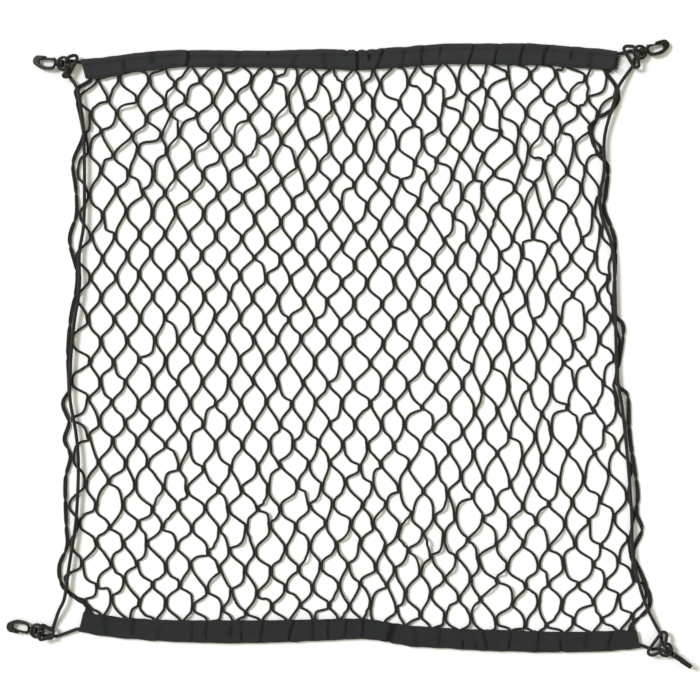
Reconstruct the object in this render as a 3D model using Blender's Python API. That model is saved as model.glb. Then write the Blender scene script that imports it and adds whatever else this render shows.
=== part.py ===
"""Elastic cargo net for a car's boot floor, about 70 by 70 cm, lying loose on a flat surface.

A knotless elastic net is held along two edges in folded tape sleeves.  One closed loop of shock
cord runs through both sleeves and down both sides, and a lark's head hitch ties it to the ring of
a swivelling spring hook at each corner.

Sizes are in millimetres until a mesh is made, and then in metres.  +Z is up.  The floor is z = 0,
and the origin is on it, under the middle of the whole net.
"""
import math
import random
from collections import namedtuple

import bmesh
import bpy
from mathutils import Matrix, Vector

MM = 0.001
GAP = 0.3                   # running clearance between pieces that touch

# ---- netting -----------------------------------------------------------------------------------
COLUMNS = 11                # whole meshes across, just under twice the real pitch
ROWS = 14                   # half meshes down
CORD_WIDTH = 2.6            # one netting cord, as wide as it is thick
JOINT_LENGTH = 9.0          # two cords side by side, where four meshes meet
JOINT_WIDTH = 5.4
SELVEDGE_WIDTH = 4.8
HEADER_WIDTH = 5.5          # band of gathered net inside a sleeve
HEADER_INSET = 13.8         # from a sleeve's fold to the first row of joints
UNEVENNESS = 2.6            # how far a joint strays from its place
SLACK = 3.4                 # how far a loose strand bows sideways
RIGHT_CROWDING = 0.10       # meshes are narrower towards the right
ROW_SLOPE = 14.0            # the middle rows slope down to the right by this much
NET_LIFT = 1.0 + GAP        # the gathered edges ride on the sleeves' lower layer

# ---- tape sleeves ------------------------------------------------------------------------------
TAPE = 1.0                  # thickness of one layer
CHANNEL_HEIGHT = 4.7        # clear height of the cord's channel
SLOT_HEIGHT = CORD_WIDTH + 2 * GAP
CHANNEL_DEPTH = 7.2         # from the fold to where the channel has narrowed to the slot
CORD_INSET = 3.5            # from the fold to the cord's middle

# ---- shock cord --------------------------------------------------------------------------------
SHOCK_CORD = 4.0            # diameter
SIDE_CORD_Z = CORD_WIDTH + SHOCK_CORD / 2
CHANNEL_CORD_Z = TAPE + CHANNEL_HEIGHT / 2
HITCH_STEP = 3.6            # spacing of the cord's sections, in a hitch and along a side
WRAP_TURN = 130             # roughly where the cord wraps a ring, in degrees round from its boss
CLEAR_OF_BAR = 3.4          # how far past the ring's bar the cord has turned
MOUTH_STRAIGHT = 1.5        # how far the cord runs on straight out of a sleeve
SIDE_STEP = 30.0

# ---- swivel hooks, along u (ring to tip), v (to the gate's side) and w (out of the hook's plane) ----
RING_RADIUS = 7.4           # of the bar's middle
RING_BAR = 1.7              # the bar's radius
BOSS_RADIUS = 3.3
BOSS_INNER_U = 4.3
BOSS_OUTER_U = 9.2
PIN_RADIUS = 1.35
BORE_RADIUS = PIN_RADIUS + GAP
HEAD_RADIUS = 4.6
HEAD_END_U = -0.3
HOOK_BASE_U = BOSS_OUTER_U + GAP
BOW_U = 29.6                # middle of the hook's bow
HOOK_TIP_U = 36.2
BASE_HALF_THICKNESS = 3.2
TIP_HALF_THICKNESS = 2.6
THROAT_START_U = 11.0
THROAT_END_U = 29.0
GATE_U = 12.4               # the gate's root, which is also its hinge
GATE_V = 4.0
GATE_ROOT_RADIUS = 1.6
GATE_TIP_U = 24.6
GATE_HALF_THICKNESS = 2.1
NOSE_END_U = 21.2
LIP_V = 4.7                 # underside of the nose's lip, over the gate's tip

SleeveRow = namedtuple("SleeveRow", "x fold_y inner_y puff")
EdgeRow = namedtuple("EdgeRow", "x y")
CordRow = namedtuple("CordRow", "x y clear")
Corner = namedtuple("Corner", "name x y z aim tilt roll cord_side near_u near_v far_u far_v "
                    "near_wrap far_wrap curl")

# Each sleeve: where the fold and the inner edge are, and how far gathers lift the upper layer.
TOP_SLEEVE = (
    SleeveRow(-312.5, 344.3, 322.2, 0.2), SleeveRow(-292, 346.0, 321.5, 0.0),
    SleeveRow(-273, 348.5, 325.0, 0.5), SleeveRow(-246, 352.0, 330.0, 0.2),
    SleeveRow(-219, 354.5, 333.0, 0.6), SleeveRow(-197, 355.5, 335.5, 0.0),
    SleeveRow(-188, 355.0, 336.0, 0.8), SleeveRow(-160, 355.0, 335.5, 0.2),
    SleeveRow(-122, 354.5, 335.5, 0.4), SleeveRow(-85, 354.5, 335.0, 0.1),
    SleeveRow(-50, 356.0, 334.0, 0.5), SleeveRow(-22, 356.3, 332.8, 0.8),
    SleeveRow(-9, 355.8, 332.5, 0.4), SleeveRow(-2, 354.2, 332.5, 0.2), SleeveRow(4, 355.4, 332.0, 0.9),
    SleeveRow(10, 353.2, 331.2, 0.0), SleeveRow(16, 355.9, 332.0, 1.0), SleeveRow(21, 354.5, 332.5, 0.5),
    SleeveRow(27, 356.2, 333.0, 0.9), SleeveRow(33, 355.6, 333.3, 0.2), SleeveRow(43, 358.0, 334.0, 0.7),
    SleeveRow(65, 359.0, 335.5, 0.4),
    SleeveRow(88, 361.0, 337.5, 0.1), SleeveRow(112, 362.5, 339.0, 0.7),
    SleeveRow(146, 363.0, 339.0, 0.2), SleeveRow(177, 363.0, 338.5, 0.7),
    SleeveRow(206, 363.0, 338.0, 0.2), SleeveRow(233, 361.5, 337.5, 0.6),
    SleeveRow(264, 359.0, 335.0, 0.2), SleeveRow(290, 357.0, 333.5, 0.4),
    SleeveRow(314, 354.3, 331.8, 0.1),
)
BOTTOM_SLEEVE = (
    SleeveRow(-312, -325.0, -302.0, 0.2), SleeveRow(-291, -329.0, -305.0, 0.0),
    SleeveRow(-260, -332.5, -308.5, 0.5), SleeveRow(-226, -335.0, -310.5, 0.1),
    SleeveRow(-197, -336.5, -311.5, 0.4), SleeveRow(-164, -337.5, -311.5, 0.9),
    SleeveRow(-136, -338.0, -311.5, 0.3), SleeveRow(-101, -337.5, -311.5, 0.7),
    SleeveRow(-68, -336.5, -311.0, 0.2), SleeveRow(-43, -335.5, -310.5, 0.8),
    SleeveRow(-22, -334.5, -310.0, 0.3), SleeveRow(-2, -333.5, -309.5, 0.9),
    SleeveRow(15, -333.0, -309.5, 0.3), SleeveRow(31, -334.0, -311.0, 0.7),
    SleeveRow(46, -337.0, -313.5, 0.0), SleeveRow(53, -338.5, -315.0, 1.1),
    SleeveRow(76, -342.0, -318.0, 0.3), SleeveRow(106, -343.5, -320.0, 0.8),
    SleeveRow(136, -345.5, -322.0, 0.2), SleeveRow(163, -347.0, -322.5, 0.8),
    SleeveRow(191, -347.5, -323.0, 0.2), SleeveRow(220, -348.5, -324.5, 0.7),
    SleeveRow(248, -348.5, -325.0, 0.2), SleeveRow(277, -348.0, -325.0, 0.7),
    SleeveRow(302, -347.5, -324.0, 0.1), SleeveRow(322, -345.5, -323.0, 0.4),
    SleeveRow(341, -343.7, -323.2, 0.1),
)

# The wavy selvedges, from top to bottom.
LEFT_SELVEDGE = (
    EdgeRow(-300, 334), EdgeRow(-301, 321), EdgeRow(-317, 310), EdgeRow(-318, 300), EdgeRow(-311, 268),
    EdgeRow(-311, 252), EdgeRow(-322, 224), EdgeRow(-319, 195), EdgeRow(-318, 164), EdgeRow(-326, 133),
    EdgeRow(-317, 90), EdgeRow(-325, 40), EdgeRow(-328, 0), EdgeRow(-327, -40), EdgeRow(-334, -58),
    EdgeRow(-327, -80), EdgeRow(-332, -100), EdgeRow(-325, -120), EdgeRow(-331, -148),
    EdgeRow(-330, -200), EdgeRow(-329, -224), EdgeRow(-338, -248), EdgeRow(-335, -270),
    EdgeRow(-320, -284), EdgeRow(-303, -299), EdgeRow(-300, -318),
)
RIGHT_SELVEDGE = (
    EdgeRow(297, 345), EdgeRow(300, 331), EdgeRow(312, 314), EdgeRow(316, 300), EdgeRow(308, 286),
    EdgeRow(289, 273), EdgeRow(284, 256), EdgeRow(291, 235), EdgeRow(303, 219), EdgeRow(301, 188),
    EdgeRow(299, 169), EdgeRow(309, 143), EdgeRow(312, 122), EdgeRow(311, 52), EdgeRow(320, 36),
    EdgeRow(321, 20), EdgeRow(314, -32), EdgeRow(326, -48), EdgeRow(328, -80), EdgeRow(330, -105),
    EdgeRow(338, -160), EdgeRow(337, -186), EdgeRow(343, -206), EdgeRow(333, -232), EdgeRow(343, -258),
    EdgeRow(352, -282), EdgeRow(350, -298), EdgeRow(331, -317), EdgeRow(326, -334),
)
# The shock cord that runs nearly straight down each side, and how far it stands clear of the net.
LEFT_CORD = (
    CordRow(-318, 313, 2.0), CordRow(-314, 300, 1.6), CordRow(-309, 256, 0.3), CordRow(-308, 196, 0.3),
    CordRow(-309, 150, 0.6), CordRow(-314, 118, 0.3), CordRow(-314, 76, 1.2), CordRow(-320, 36, 0.6),
    CordRow(-324, -7, 0.3), CordRow(-325, -50, 0.8), CordRow(-318, -92, 0.3), CordRow(-315, -132, 0.9),
    CordRow(-318, -195, 0.3), CordRow(-326, -248, 0.6), CordRow(-331, -284, 1.4),
    CordRow(-338, -300, 1.2),
)
RIGHT_CORD = (
    CordRow(315, 312, 2.4), CordRow(310, 295, 2.2), CordRow(299, 255, 0.9), CordRow(298, 213, 1.4),
    CordRow(293, 184, 0.8), CordRow(296, 160, 0.3), CordRow(308, 123, 0.9), CordRow(311, 69, 0.3),
    CordRow(312, 15, 0.9), CordRow(314, -30, 0.3), CordRow(319, -60, 0.9), CordRow(325, -115, 0.3),
    CordRow(330, -180, 1.1), CordRow(332, -234, 0.4), CordRow(341, -275, 1.5), CordRow(350, -300, 2.2),
)

# Each corner: its ring's middle, where its hook points and dips, how the hook is rolled on its
# swivel, which side of the hook the sleeve is on, the middles of the hitch's two curls, how far
# round the ring from its boss each side of the hitch wraps it, in degrees, and the curls' radius.
CORNERS = (
    Corner("top_left", -332.4, 338.7, 6.0, 173.3, 5.7, 180, -1, -11.9, 7.6, -3.9, -12.1, 140, 137, 3.6),
    Corner("top_right", 340.0, 352.0, 6.0, 17.0, 5.7, 0, 1, -13.6, 7.9, -8.4, -12.6, 140, 137, 3.7),
    Corner("bottom_left", -363.5, -323.0, 6.0, 171.0, 5.7, 0, 1, -17.2, 4.6, -16.8, -4.8, 137, 137, 2.4),
    Corner("bottom_right", 369.5, -344.5, 7.2, -34.0, -4.6, 90, -1, -12.0, 11.8, -11.2, -13.0, 137, 137, 3.6),
)


# ---- helpers -----------------------------------------------------------------------------------
def clear_scene():
    for old in list(bpy.data.objects):
        bpy.data.objects.remove(old, do_unlink=True)


def material(name, colour, roughness):
    """A plain Principled finish, shared by every piece made of it."""
    finish = bpy.data.materials.get(name)
    if finish is None:
        finish = bpy.data.materials.new(name)
        finish.use_nodes = True
        shader = finish.node_tree.nodes["Principled BSDF"]
        shader.inputs["Base Color"].default_value = (*colour, 1.0)
        shader.inputs["Roughness"].default_value = roughness
        shader.inputs["Metallic"].default_value = 0.0
    return finish


def add_object(name, data, finish, matrix=None):
    data.materials.clear()
    data.materials.append(finish)
    obj = bpy.data.objects.new(name, data)
    bpy.context.scene.collection.objects.link(obj)
    if matrix is not None:
        obj.matrix_world = matrix
    return obj


def mesh_from(bm, name, smooth_angle=None):
    """Turn a bmesh in millimetres into a mesh in metres with its faces pointing out."""
    bmesh.ops.recalc_face_normals(bm, faces=bm.faces)
    bmesh.ops.scale(bm, vec=(MM, MM, MM), verts=bm.verts)
    mesh = bpy.data.meshes.new(name)
    bm.to_mesh(mesh)
    bm.free()
    if smooth_angle is not None:
        mesh.shade_smooth()
        mesh.set_sharp_from_angle(angle=math.radians(smooth_angle))
    return mesh


def curve_through(points, spacing):
    """Points about one spacing apart along a smooth curve through the given ones."""
    points = [Vector(p) for p in points]
    ends = [2 * points[0] - points[1], *points, 2 * points[-1] - points[-2]]
    route = []
    for before, start, end, after in zip(ends, ends[1:], ends[2:], ends[3:]):
        steps = max(1, round((end - start).length / spacing))
        for step in range(steps):
            t = step / steps
            route.append(0.5 * (2 * start + (end - before) * t
                                + (2 * before - 5 * start + 4 * end - after) * t ** 2
                                + (3 * start - before - 3 * end + after) * t ** 3))
    return route + [points[-1]]


def lookup(rows, key, value, at):
    """Read one column of a table at a place between its rows, eased from row to row."""
    rows = sorted(rows, key=lambda row: getattr(row, key))
    at = min(max(at, getattr(rows[0], key)), getattr(rows[-1], key))
    for low, high in zip(rows, rows[1:]):
        if at <= getattr(high, key):
            t = (at - getattr(low, key)) / (getattr(high, key) - getattr(low, key))
            return getattr(low, value) + (getattr(high, value) - getattr(low, value)) * t * t * (3 - 2 * t)
    return getattr(rows[-1], value)


# ---- netting -----------------------------------------------------------------------------------
def header_y(rows, x):
    """The first row of joints inside a sleeve."""
    inward = math.copysign(HEADER_INSET, -rows[0].fold_y)
    return lookup(rows, "x", "fold_y", x) + inward


def smoothed_edge(table, y):
    """The middle of a selvedge's waves, which the net inside it follows."""
    return sum(lookup(table, "y", "x", y + offset) for offset in (-60, -30, 0, 30, 60)) / 5


def joint_place(i, j, stray):
    """Where the joint in half column i and half row j lies."""
    across, down = i / (2 * COLUMNS), j / ROWS
    level = TOP_SLEEVE[0].inner_y + (BOTTOM_SLEEVE[0].inner_y - TOP_SLEEVE[0].inner_y) * down
    left, right = smoothed_edge(LEFT_SELVEDGE, level), smoothed_edge(RIGHT_SELVEDGE, level)
    x = left + (right - left) * (across + RIGHT_CROWDING * across * (1 - across))
    top, bottom = header_y(TOP_SLEEVE, x), header_y(BOTTOM_SLEEVE, x)
    y = top + (bottom - top) * down - ROW_SLOPE * math.sin(math.pi * down) * (across - 0.5)
    if i == 0:
        x = lookup(LEFT_SELVEDGE, "y", "x", y)
    elif i == 2 * COLUMNS:
        x = lookup(RIGHT_SELVEDGE, "y", "x", y)
    elif 0 < j < ROWS:
        x += stray.uniform(-UNEVENNESS, UNEVENNESS)
        y += stray.uniform(-UNEVENNESS, UNEVENNESS)
    return Vector((x, y, NET_LIFT if j in (0, ROWS) else 0.0))


def joint_rim(i, j):
    """The corners of one joint, by compass name, as offsets from its middle."""
    west, east, north, south = i == 0, i == 2 * COLUMNS, j == 0, j == ROWS
    half = (SELVEDGE_WIDTH if west or east else JOINT_WIDTH) / 2
    up = HEADER_WIDTH if north else JOINT_LENGTH / 2
    down = HEADER_WIDTH if south else JOINT_LENGTH / 2
    rim = {"nw": (-half, up), "n": (0, up), "ne": (half, up), "e": (half, 0),
           "se": (half, -down), "s": (0, -down), "sw": (-half, -down), "w": (-half, 0)}
    unused = set()
    if north or west or east:
        unused.add("n")
    if south or west or east:
        unused.add("s")
    if east or not (north or south or west):
        unused.add("e")
    if west or not (north or south or east):
        unused.add("w")
    return {name: offset for name, offset in rim.items() if name not in unused}


def strand_end(rim, direction):
    """The two rim corners where a strand meets a joint: left, then right, going down or east."""
    pairs = {"se": ("se", "s") if "s" in rim else ("e", "se"),
             "sw": ("s", "sw") if "s" in rim else ("sw", "w"),
             "ne": ("ne", "n") if "n" in rim else ("e", "ne"),
             "nw": ("n", "nw") if "n" in rim else ("nw", "w"),
             "s": ("se", "sw"), "n": ("ne", "nw")}
    return [rim[name] for name in pairs[direction]]


def add_strip(bm, start, end, width, bends):
    """A strip between two joints, bent at the given places."""
    course = [(start[0].co + start[1].co) / 2, *bends, (end[0].co + end[1].co) / 2]
    sections = [start]
    for before, bend, after in zip(course, course[1:], course[2:]):
        along = (after - before).to_2d().normalized()
        side = Vector((-along.y, along.x, 0.0)) * (width / 2)
        sections.append([bm.verts.new(bend + side), bm.verts.new(bend - side)])
    sections.append(end)
    for upper, lower in zip(sections, sections[1:]):
        bm.faces.new((upper[0], upper[1], lower[1], lower[0]))


def strand_bend(start, end, bow):
    """Where a slack strand bows sideways, on its way from one joint to the next."""
    first, last = ((pair[0].co + pair[1].co) / 2 for pair in (start, end))
    along = (last - first).to_2d().normalized()
    middle = first.lerp(last, 0.5 + 0.03 * bow) + Vector((-along.y, along.x, 0.0)) * bow
    middle.z = max(first.z, last.z)
    return middle


def selvedge_bends(table, start, end):
    """Along a selvedge from joint to joint.  It comes down to the floor just outside a sleeve."""
    top, bottom = start[0].co, end[0].co
    bends = []
    for share in (0.09, 0.22, 0.50, 0.78, 0.91):
        y = top.y + (bottom.y - top.y) * share
        near = top if share < 0.1 else bottom if share > 0.9 else None
        if near is None or near.z > 0.0:
            bends.append(Vector((lookup(table, "y", "x", y), y, near.z if near else 0.0)))
    return bends


def net_panel():
    bm = bmesh.new()
    stray = random.Random(7)
    joints = {}
    for j in range(ROWS + 1):
        for i in range(j % 2, 2 * COLUMNS + 1, 2):
            place = joint_place(i, j, stray)
            rim = {name: bm.verts.new(place + Vector((*offset, 0.0)))
                   for name, offset in joint_rim(i, j).items()}
            bm.faces.new(rim.values())
            joints[i, j] = rim
    for (i, j), rim in joints.items():
        for step, leave, arrive in ((1, "se", "nw"), (-1, "sw", "ne")):
            below = joints.get((i + step, j + 1))
            if below:
                start, end = strand_end(rim, leave), strand_end(below, arrive)
                bend = strand_bend(start, end, stray.uniform(-SLACK, SLACK))
                add_strip(bm, start, end, CORD_WIDTH, [bend])
        if i in (0, 2 * COLUMNS) and j < ROWS:
            table = LEFT_SELVEDGE if i == 0 else RIGHT_SELVEDGE
            start, end = strand_end(rim, "s"), strand_end(joints[i, j + 2], "n")
            add_strip(bm, start, end, SELVEDGE_WIDTH, selvedge_bends(table, start, end))
        if j in (0, ROWS) and i < 2 * COLUMNS:
            east = joints[i + 2, j]
            rows, middle = (TOP_SLEEVE, 0.5) if j == 0 else (BOTTOM_SLEEVE, -0.5)
            start = (rim["ne"], rim["e"]) if j == 0 else (rim["e"], rim["se"])
            end = (east["nw"], east["w"]) if j == 0 else (east["w"], east["sw"])
            x = (rim["e"].co.x + east["w"].co.x) / 2
            band = Vector((x, header_y(rows, x) + middle * HEADER_WIDTH, NET_LIFT))
            add_strip(bm, start, end, HEADER_WIDTH, [band])
    bmesh.ops.recalc_face_normals(bm, faces=bm.faces)
    lower = bmesh.ops.extrude_face_region(bm, geom=list(bm.faces), use_keep_orig=True)
    risen = [piece for piece in lower["geom"] if isinstance(piece, bmesh.types.BMVert)]
    bmesh.ops.translate(bm, vec=(0, 0, CORD_WIDTH), verts=risen)
    finish = material("netting", (0.020, 0.019, 0.017), 0.85)
    return add_object("net_panel", mesh_from(bm, "net_panel"), finish)


# ---- tape sleeves ------------------------------------------------------------------------------
def sleeve_section(width, puff):
    """The folded tape cut across: depth from the fold, and height, once round its outline."""
    top = TAPE + CHANNEL_HEIGHT + TAPE + 0.5 * puff
    slot_top = 2 * TAPE + SLOT_HEIGHT + puff
    roof = top - TAPE
    return ((width, 0.0), (1.4, 0.0), (0.3, 1.1), (0.0, 0.5 * top), (0.3, top - 1.1), (1.5, top),
            (CHANNEL_DEPTH - 2.0, top), (CHANNEL_DEPTH + 1.0, slot_top), (0.6 * width + 2.0, slot_top),
            (width, slot_top - 0.5 * puff), (width, slot_top - TAPE - 0.5 * puff),
            (0.6 * width + 2.0, slot_top - TAPE), (CHANNEL_DEPTH + 0.8, slot_top - TAPE),
            (CHANNEL_DEPTH - 2.2, roof), (1.8, roof), (1.15, roof - 0.8), (1.0, 0.5 * top),
            (1.15, TAPE + 0.8), (1.8, TAPE), (width, TAPE))


def sleeve(name, rows, end_slant):
    """Sections joined along the tape.  Each end is cut on the slant."""
    bm = bmesh.new()
    rings = []
    for row in rows:
        inward = row.inner_y - row.fold_y
        width = abs(inward)
        lean = end_slant[0] if row is rows[0] else end_slant[1] if row is rows[-1] else 0.0
        rings.append([])
        for depth, height in sleeve_section(width, row.puff):
            share = depth / width
            place = (row.x + lean * share, row.fold_y + inward * share, height)
            rings[-1].append(bm.verts.new(place))
    for ring, following in zip(rings, rings[1:]):
        for k in range(len(ring)):
            n = (k + 1) % len(ring)
            bm.faces.new((ring[k], ring[n], following[n], following[k]))
    bm.faces.new(rings[0])
    bm.faces.new(rings[-1])
    return add_object(name, mesh_from(bm, name, 50), material("tape", (0.032, 0.034, 0.036), 0.8))


# ---- shock cord --------------------------------------------------------------------------------
def corner_matrix(corner, roll=0.0):
    """From u, v, w at a hook's ring, in metres, to the world."""
    return (Matrix.Translation(Vector((corner.x, corner.y, corner.z)) * MM)
            @ Matrix.Rotation(math.radians(corner.aim), 4, "Z")
            @ Matrix.Rotation(math.radians(corner.tilt), 4, "Y")
            @ Matrix.Rotation(math.radians(roll), 4, "X"))


def hitch(corner, to_sleeve, to_side):
    """A loose lark's head, from the sleeve to the side: under the bight, round the ring, and back."""
    aim = math.radians(corner.aim)
    along = Vector((math.cos(aim), math.sin(aim)))
    across = Vector((-along.y, along.x)) * corner.cord_side
    middle = Vector((corner.x, corner.y))
    reach_up = RING_BAR + SHOCK_CORD / 2 + 1.9 * GAP
    inside = RING_RADIUS - reach_up
    bar_z = corner.z - RING_RADIUS * math.cos(math.radians(WRAP_TURN)) * math.sin(math.radians(corner.tilt))
    low, high = max(bar_z - reach_up, SHOCK_CORD / 2), bar_z + reach_up + 0.1
    bight_z = low + SHOCK_CORD + 2 * GAP

    def round_ring(radius, turn, z):
        return (radius * math.cos(math.radians(turn)), radius * math.sin(math.radians(turn)), z)

    def half(curl_u, curl_v, wrap, target):
        """From beyond the bight, round the ring's bar, and round a curl to the bight's end."""
        target = Vector((along.dot(target - middle), abs(across.dot(target - middle))))
        start = Vector((curl_u, curl_v - 0.8 * corner.curl))
        way = target - start
        beyond = start + way * min((corner.curl + CLEAR_OF_BAR) / way.length, 0.5)
        curl = [(curl_u + corner.curl * math.cos(math.radians(turn)),
                 curl_v + corner.curl * math.sin(math.radians(turn)), bight_z + rise)
                for turn, rise in ((35, 1.6), (80, 1.0), (125, 0.4), (170, 0.0))]
        return [(*beyond, low + 0.2), (*start, low), round_ring(RING_RADIUS + CLEAR_OF_BAR, wrap + 10, low),
                round_ring(RING_RADIUS, wrap + 6, low - 0.1), round_ring(inside + 0.9, wrap + 3, bar_z - 3.1),
                round_ring(inside, wrap, bar_z), round_ring(inside + 0.9, wrap - 3, bar_z + 3.1),
                round_ring(RING_RADIUS, wrap - 7, high), round_ring(RING_RADIUS + CLEAR_OF_BAR, wrap - 13, high - 0.9),
                *curl]

    near = half(corner.near_u, corner.near_v, corner.near_wrap, to_sleeve)
    far = half(corner.far_u, -corner.far_v, corner.far_wrap, to_side)
    local = near + [(u, -v, z) for u, v, z in far[::-1]]
    return [Vector((*(middle + along * u + across * v), z)) for u, v, z in local]


def channel_route(rows, inward):
    """Along a sleeve's channel, from left to right, and a little way out of both its mouths."""
    route = [Vector((row.x, row.fold_y + inward * CORD_INSET, CHANNEL_CORD_Z)) for row in rows]
    out = Vector((MOUTH_STRAIGHT, 0, 0))
    return [route[0] - out, *route, route[-1] + out]


def side_route(rows):
    return [Vector((row.x, row.y, SIDE_CORD_Z + row.clear)) for row in rows]


def edge_cord():
    """One closed loop: top sleeve, right side, bottom sleeve, left side, and four hitches."""
    top, bottom = channel_route(TOP_SLEEVE, -1), channel_route(BOTTOM_SLEEVE, 1)
    left, right = side_route(LEFT_CORD), side_route(RIGHT_CORD)
    ends = ((top[0], left[0]), (top[-1], right[0]), (bottom[0], left[-1]), (bottom[-1], right[-1]))
    top_left, top_right, bottom_left, bottom_right = (
        hitch(corner, mouth.xy, side_end.xy) for corner, (mouth, side_end) in zip(CORNERS, ends))
    stretches = ((top, SIDE_STEP), (top_right, HITCH_STEP), (right, SIDE_STEP), (bottom_right[::-1], HITCH_STEP),
                 (bottom[::-1], SIDE_STEP), (bottom_left, HITCH_STEP), (left[::-1], SIDE_STEP),
                 (top_left[::-1], HITCH_STEP))
    route = []
    for k, (points, spacing) in enumerate(stretches):
        following = stretches[(k + 1) % len(stretches)][0]
        before = stretches[k - 1][0][-1]
        stretch = curve_through([before, *points, following[0]], spacing)
        start = min(range(len(stretch)), key=lambda n: (stretch[n] - points[0]).length)
        route += stretch[start:-1]
    curve = bpy.data.curves.new("edge_cord", "CURVE")
    curve.dimensions = "3D"
    curve.bevel_depth = SHOCK_CORD / 2 * MM
    curve.bevel_resolution = 1
    curve.resolution_u = curve.render_resolution_u = 1
    spline = curve.splines.new("POLY")
    spline.points.add(len(route) - 1)
    for point, place in zip(spline.points, route):
        point.co = (*(place * MM), 1.0)
    spline.use_cyclic_u = True
    return add_object("edge_cord", curve, material("shock_cord", (0.022, 0.021, 0.018), 0.7))


# ---- swivel hooks ------------------------------------------------------------------------------
def half_thickness(u):
    """A hook is a little thinner towards its tip."""
    t = (u - HOOK_BASE_U) / (HOOK_TIP_U - HOOK_BASE_U)
    return BASE_HALF_THICKNESS + (TIP_HALF_THICKNESS - BASE_HALF_THICKNESS) * t


def extrude_outline(bm, outline, thickness):
    """A flat outline in u and v made into a plate, its half thickness given for each u."""
    faces = [[bm.verts.new((u, v, side * thickness(u))) for u, v in outline] for side in (-1, 1)]
    bm.faces.new(faces[0][::-1])
    bm.faces.new(faces[1])
    for k in range(len(outline)):
        n = (k + 1) % len(outline)
        bm.faces.new((faces[0][k], faces[0][n], faces[1][n], faces[1][k]))


def turned(bm, profile, sides):
    """A closed turned piece about the u axis from (u, radius) pairs, pointed or flat at its ends."""
    rings = []
    for u, radius in profile:
        rings.append([bm.verts.new((u, radius * math.cos(2 * math.pi * k / sides),
                                    radius * math.sin(2 * math.pi * k / sides))) for k in range(sides)])
    for ring, following in zip(rings, rings[1:]):
        for k in range(sides):
            n = (k + 1) % sides
            bm.faces.new((ring[k], ring[n], following[n], following[k]))
    bm.faces.new(rings[0])
    bm.faces.new(rings[-1])


def join_solids(name, first, second, operation):
    """The Boolean of two bmeshes in millimetres, as one mesh in metres."""
    base = add_object(name, mesh_from(first, name), material("hook_plastic", (0.030, 0.030, 0.024), 0.45))
    tool = add_object(name + "_tool", mesh_from(second, name + "_tool"), base.data.materials[0])
    cut = base.modifiers.new("join", "BOOLEAN")
    cut.operation = operation
    cut.solver = "EXACT"
    cut.object = tool
    joined = bpy.data.meshes.new_from_object(base.evaluated_get(bpy.context.evaluated_depsgraph_get()))
    for used in (base, tool):
        bpy.data.objects.remove(used, do_unlink=True)
    return joined


def bmesh_in_mm(mesh):
    bm = bmesh.new()
    bm.from_mesh(mesh)
    bmesh.ops.scale(bm, vec=(1 / MM, 1 / MM, 1 / MM), verts=bm.verts)
    return bm


def ring_mesh():
    """A round eye with a boss across its outer end, bored for the swivel pin."""
    around, across = 18, 6
    bar = bmesh.new()
    loops = []
    for k in range(around):
        turn = 2 * math.pi * (k + 0.5) / around
        loop = []
        for n in range(across):
            lean = 2 * math.pi * (n + 0.5) / across
            radius = RING_RADIUS + RING_BAR * math.cos(lean)
            place = (radius * math.cos(turn), radius * math.sin(turn), RING_BAR * math.sin(lean))
            loop.append(bar.verts.new(place))
        loops.append(loop)
    for k in range(around):
        for n in range(across):
            m, following = (n + 1) % across, loops[(k + 1) % around]
            bar.faces.new((loops[k][n], loops[k][m], following[m], following[n]))
    boss, bore = bmesh.new(), bmesh.new()
    turned(boss, ((BOSS_INNER_U, BOSS_RADIUS), (BOSS_OUTER_U, BOSS_RADIUS)), 12)
    turned(bore, ((BOSS_INNER_U - 2, BORE_RADIUS), (BOSS_OUTER_U + 2, BORE_RADIUS)), 10)
    whole = join_solids("ring", bar, boss, "UNION")
    mesh = join_solids("ring", bmesh_in_mm(whole), bore, "DIFFERENCE")
    mesh.shade_smooth()
    mesh.set_sharp_from_angle(angle=math.radians(62))
    return mesh


def arc(centre, radius, start, end, steps):
    """Points on an arc in u and v, angles in degrees."""
    turns = [math.radians(start + (end - start) * k / steps) for k in range(steps + 1)]
    return [(centre[0] + radius * math.cos(turn), centre[1] + radius * math.sin(turn)) for turn in turns]


def hook_mesh():
    """Spine, bow and nose in one plate, with a seat for the gate's root, and the swivel pin."""
    spine = [(HOOK_BASE_U, 3.3), (HOOK_BASE_U, -3.3), (10.4, -6.2), (12.7, -8.3), (22.3, -9.0),
             (BOW_U, -7.3)]
    bow = arc((BOW_U, 0.0), HOOK_TIP_U - BOW_U, -45, 70, 7)
    nose = [(28.7, 6.5), (NOSE_END_U, 6.5), (NOSE_END_U, LIP_V), (GATE_TIP_U + GAP, LIP_V),
            (GATE_TIP_U + GAP, 2.1), (27.9, 2.1)]
    throat = [(THROAT_END_U, 1.4), (THROAT_END_U, -1.4), (26.6, -3.8), (21.0, -4.6), (13.8, -4.2),
              (THROAT_START_U, -2.8), (THROAT_START_U, 1.2)]
    seat = arc((GATE_U, GATE_V), GATE_ROOT_RADIUS + GAP, 270, 90, 5)
    shoulder = [(11.3, 6.4), (10.2, 5.6)]
    plate, pin = bmesh.new(), bmesh.new()
    extrude_outline(plate, spine + bow + nose + throat + seat + shoulder, half_thickness)
    head_face = BOSS_INNER_U - GAP
    turned(pin, ((HEAD_END_U, 1.2), (HEAD_END_U + 0.6, 2.7), (HEAD_END_U + 1.8, HEAD_RADIUS),
                 (head_face - 0.6, HEAD_RADIUS), (head_face, HEAD_RADIUS - 0.5),
                 (head_face + 0.01, PIN_RADIUS),
                 (HOOK_BASE_U + 0.8, PIN_RADIUS)), 10)
    return join_solids("hook", plate, pin, "UNION")


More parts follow.
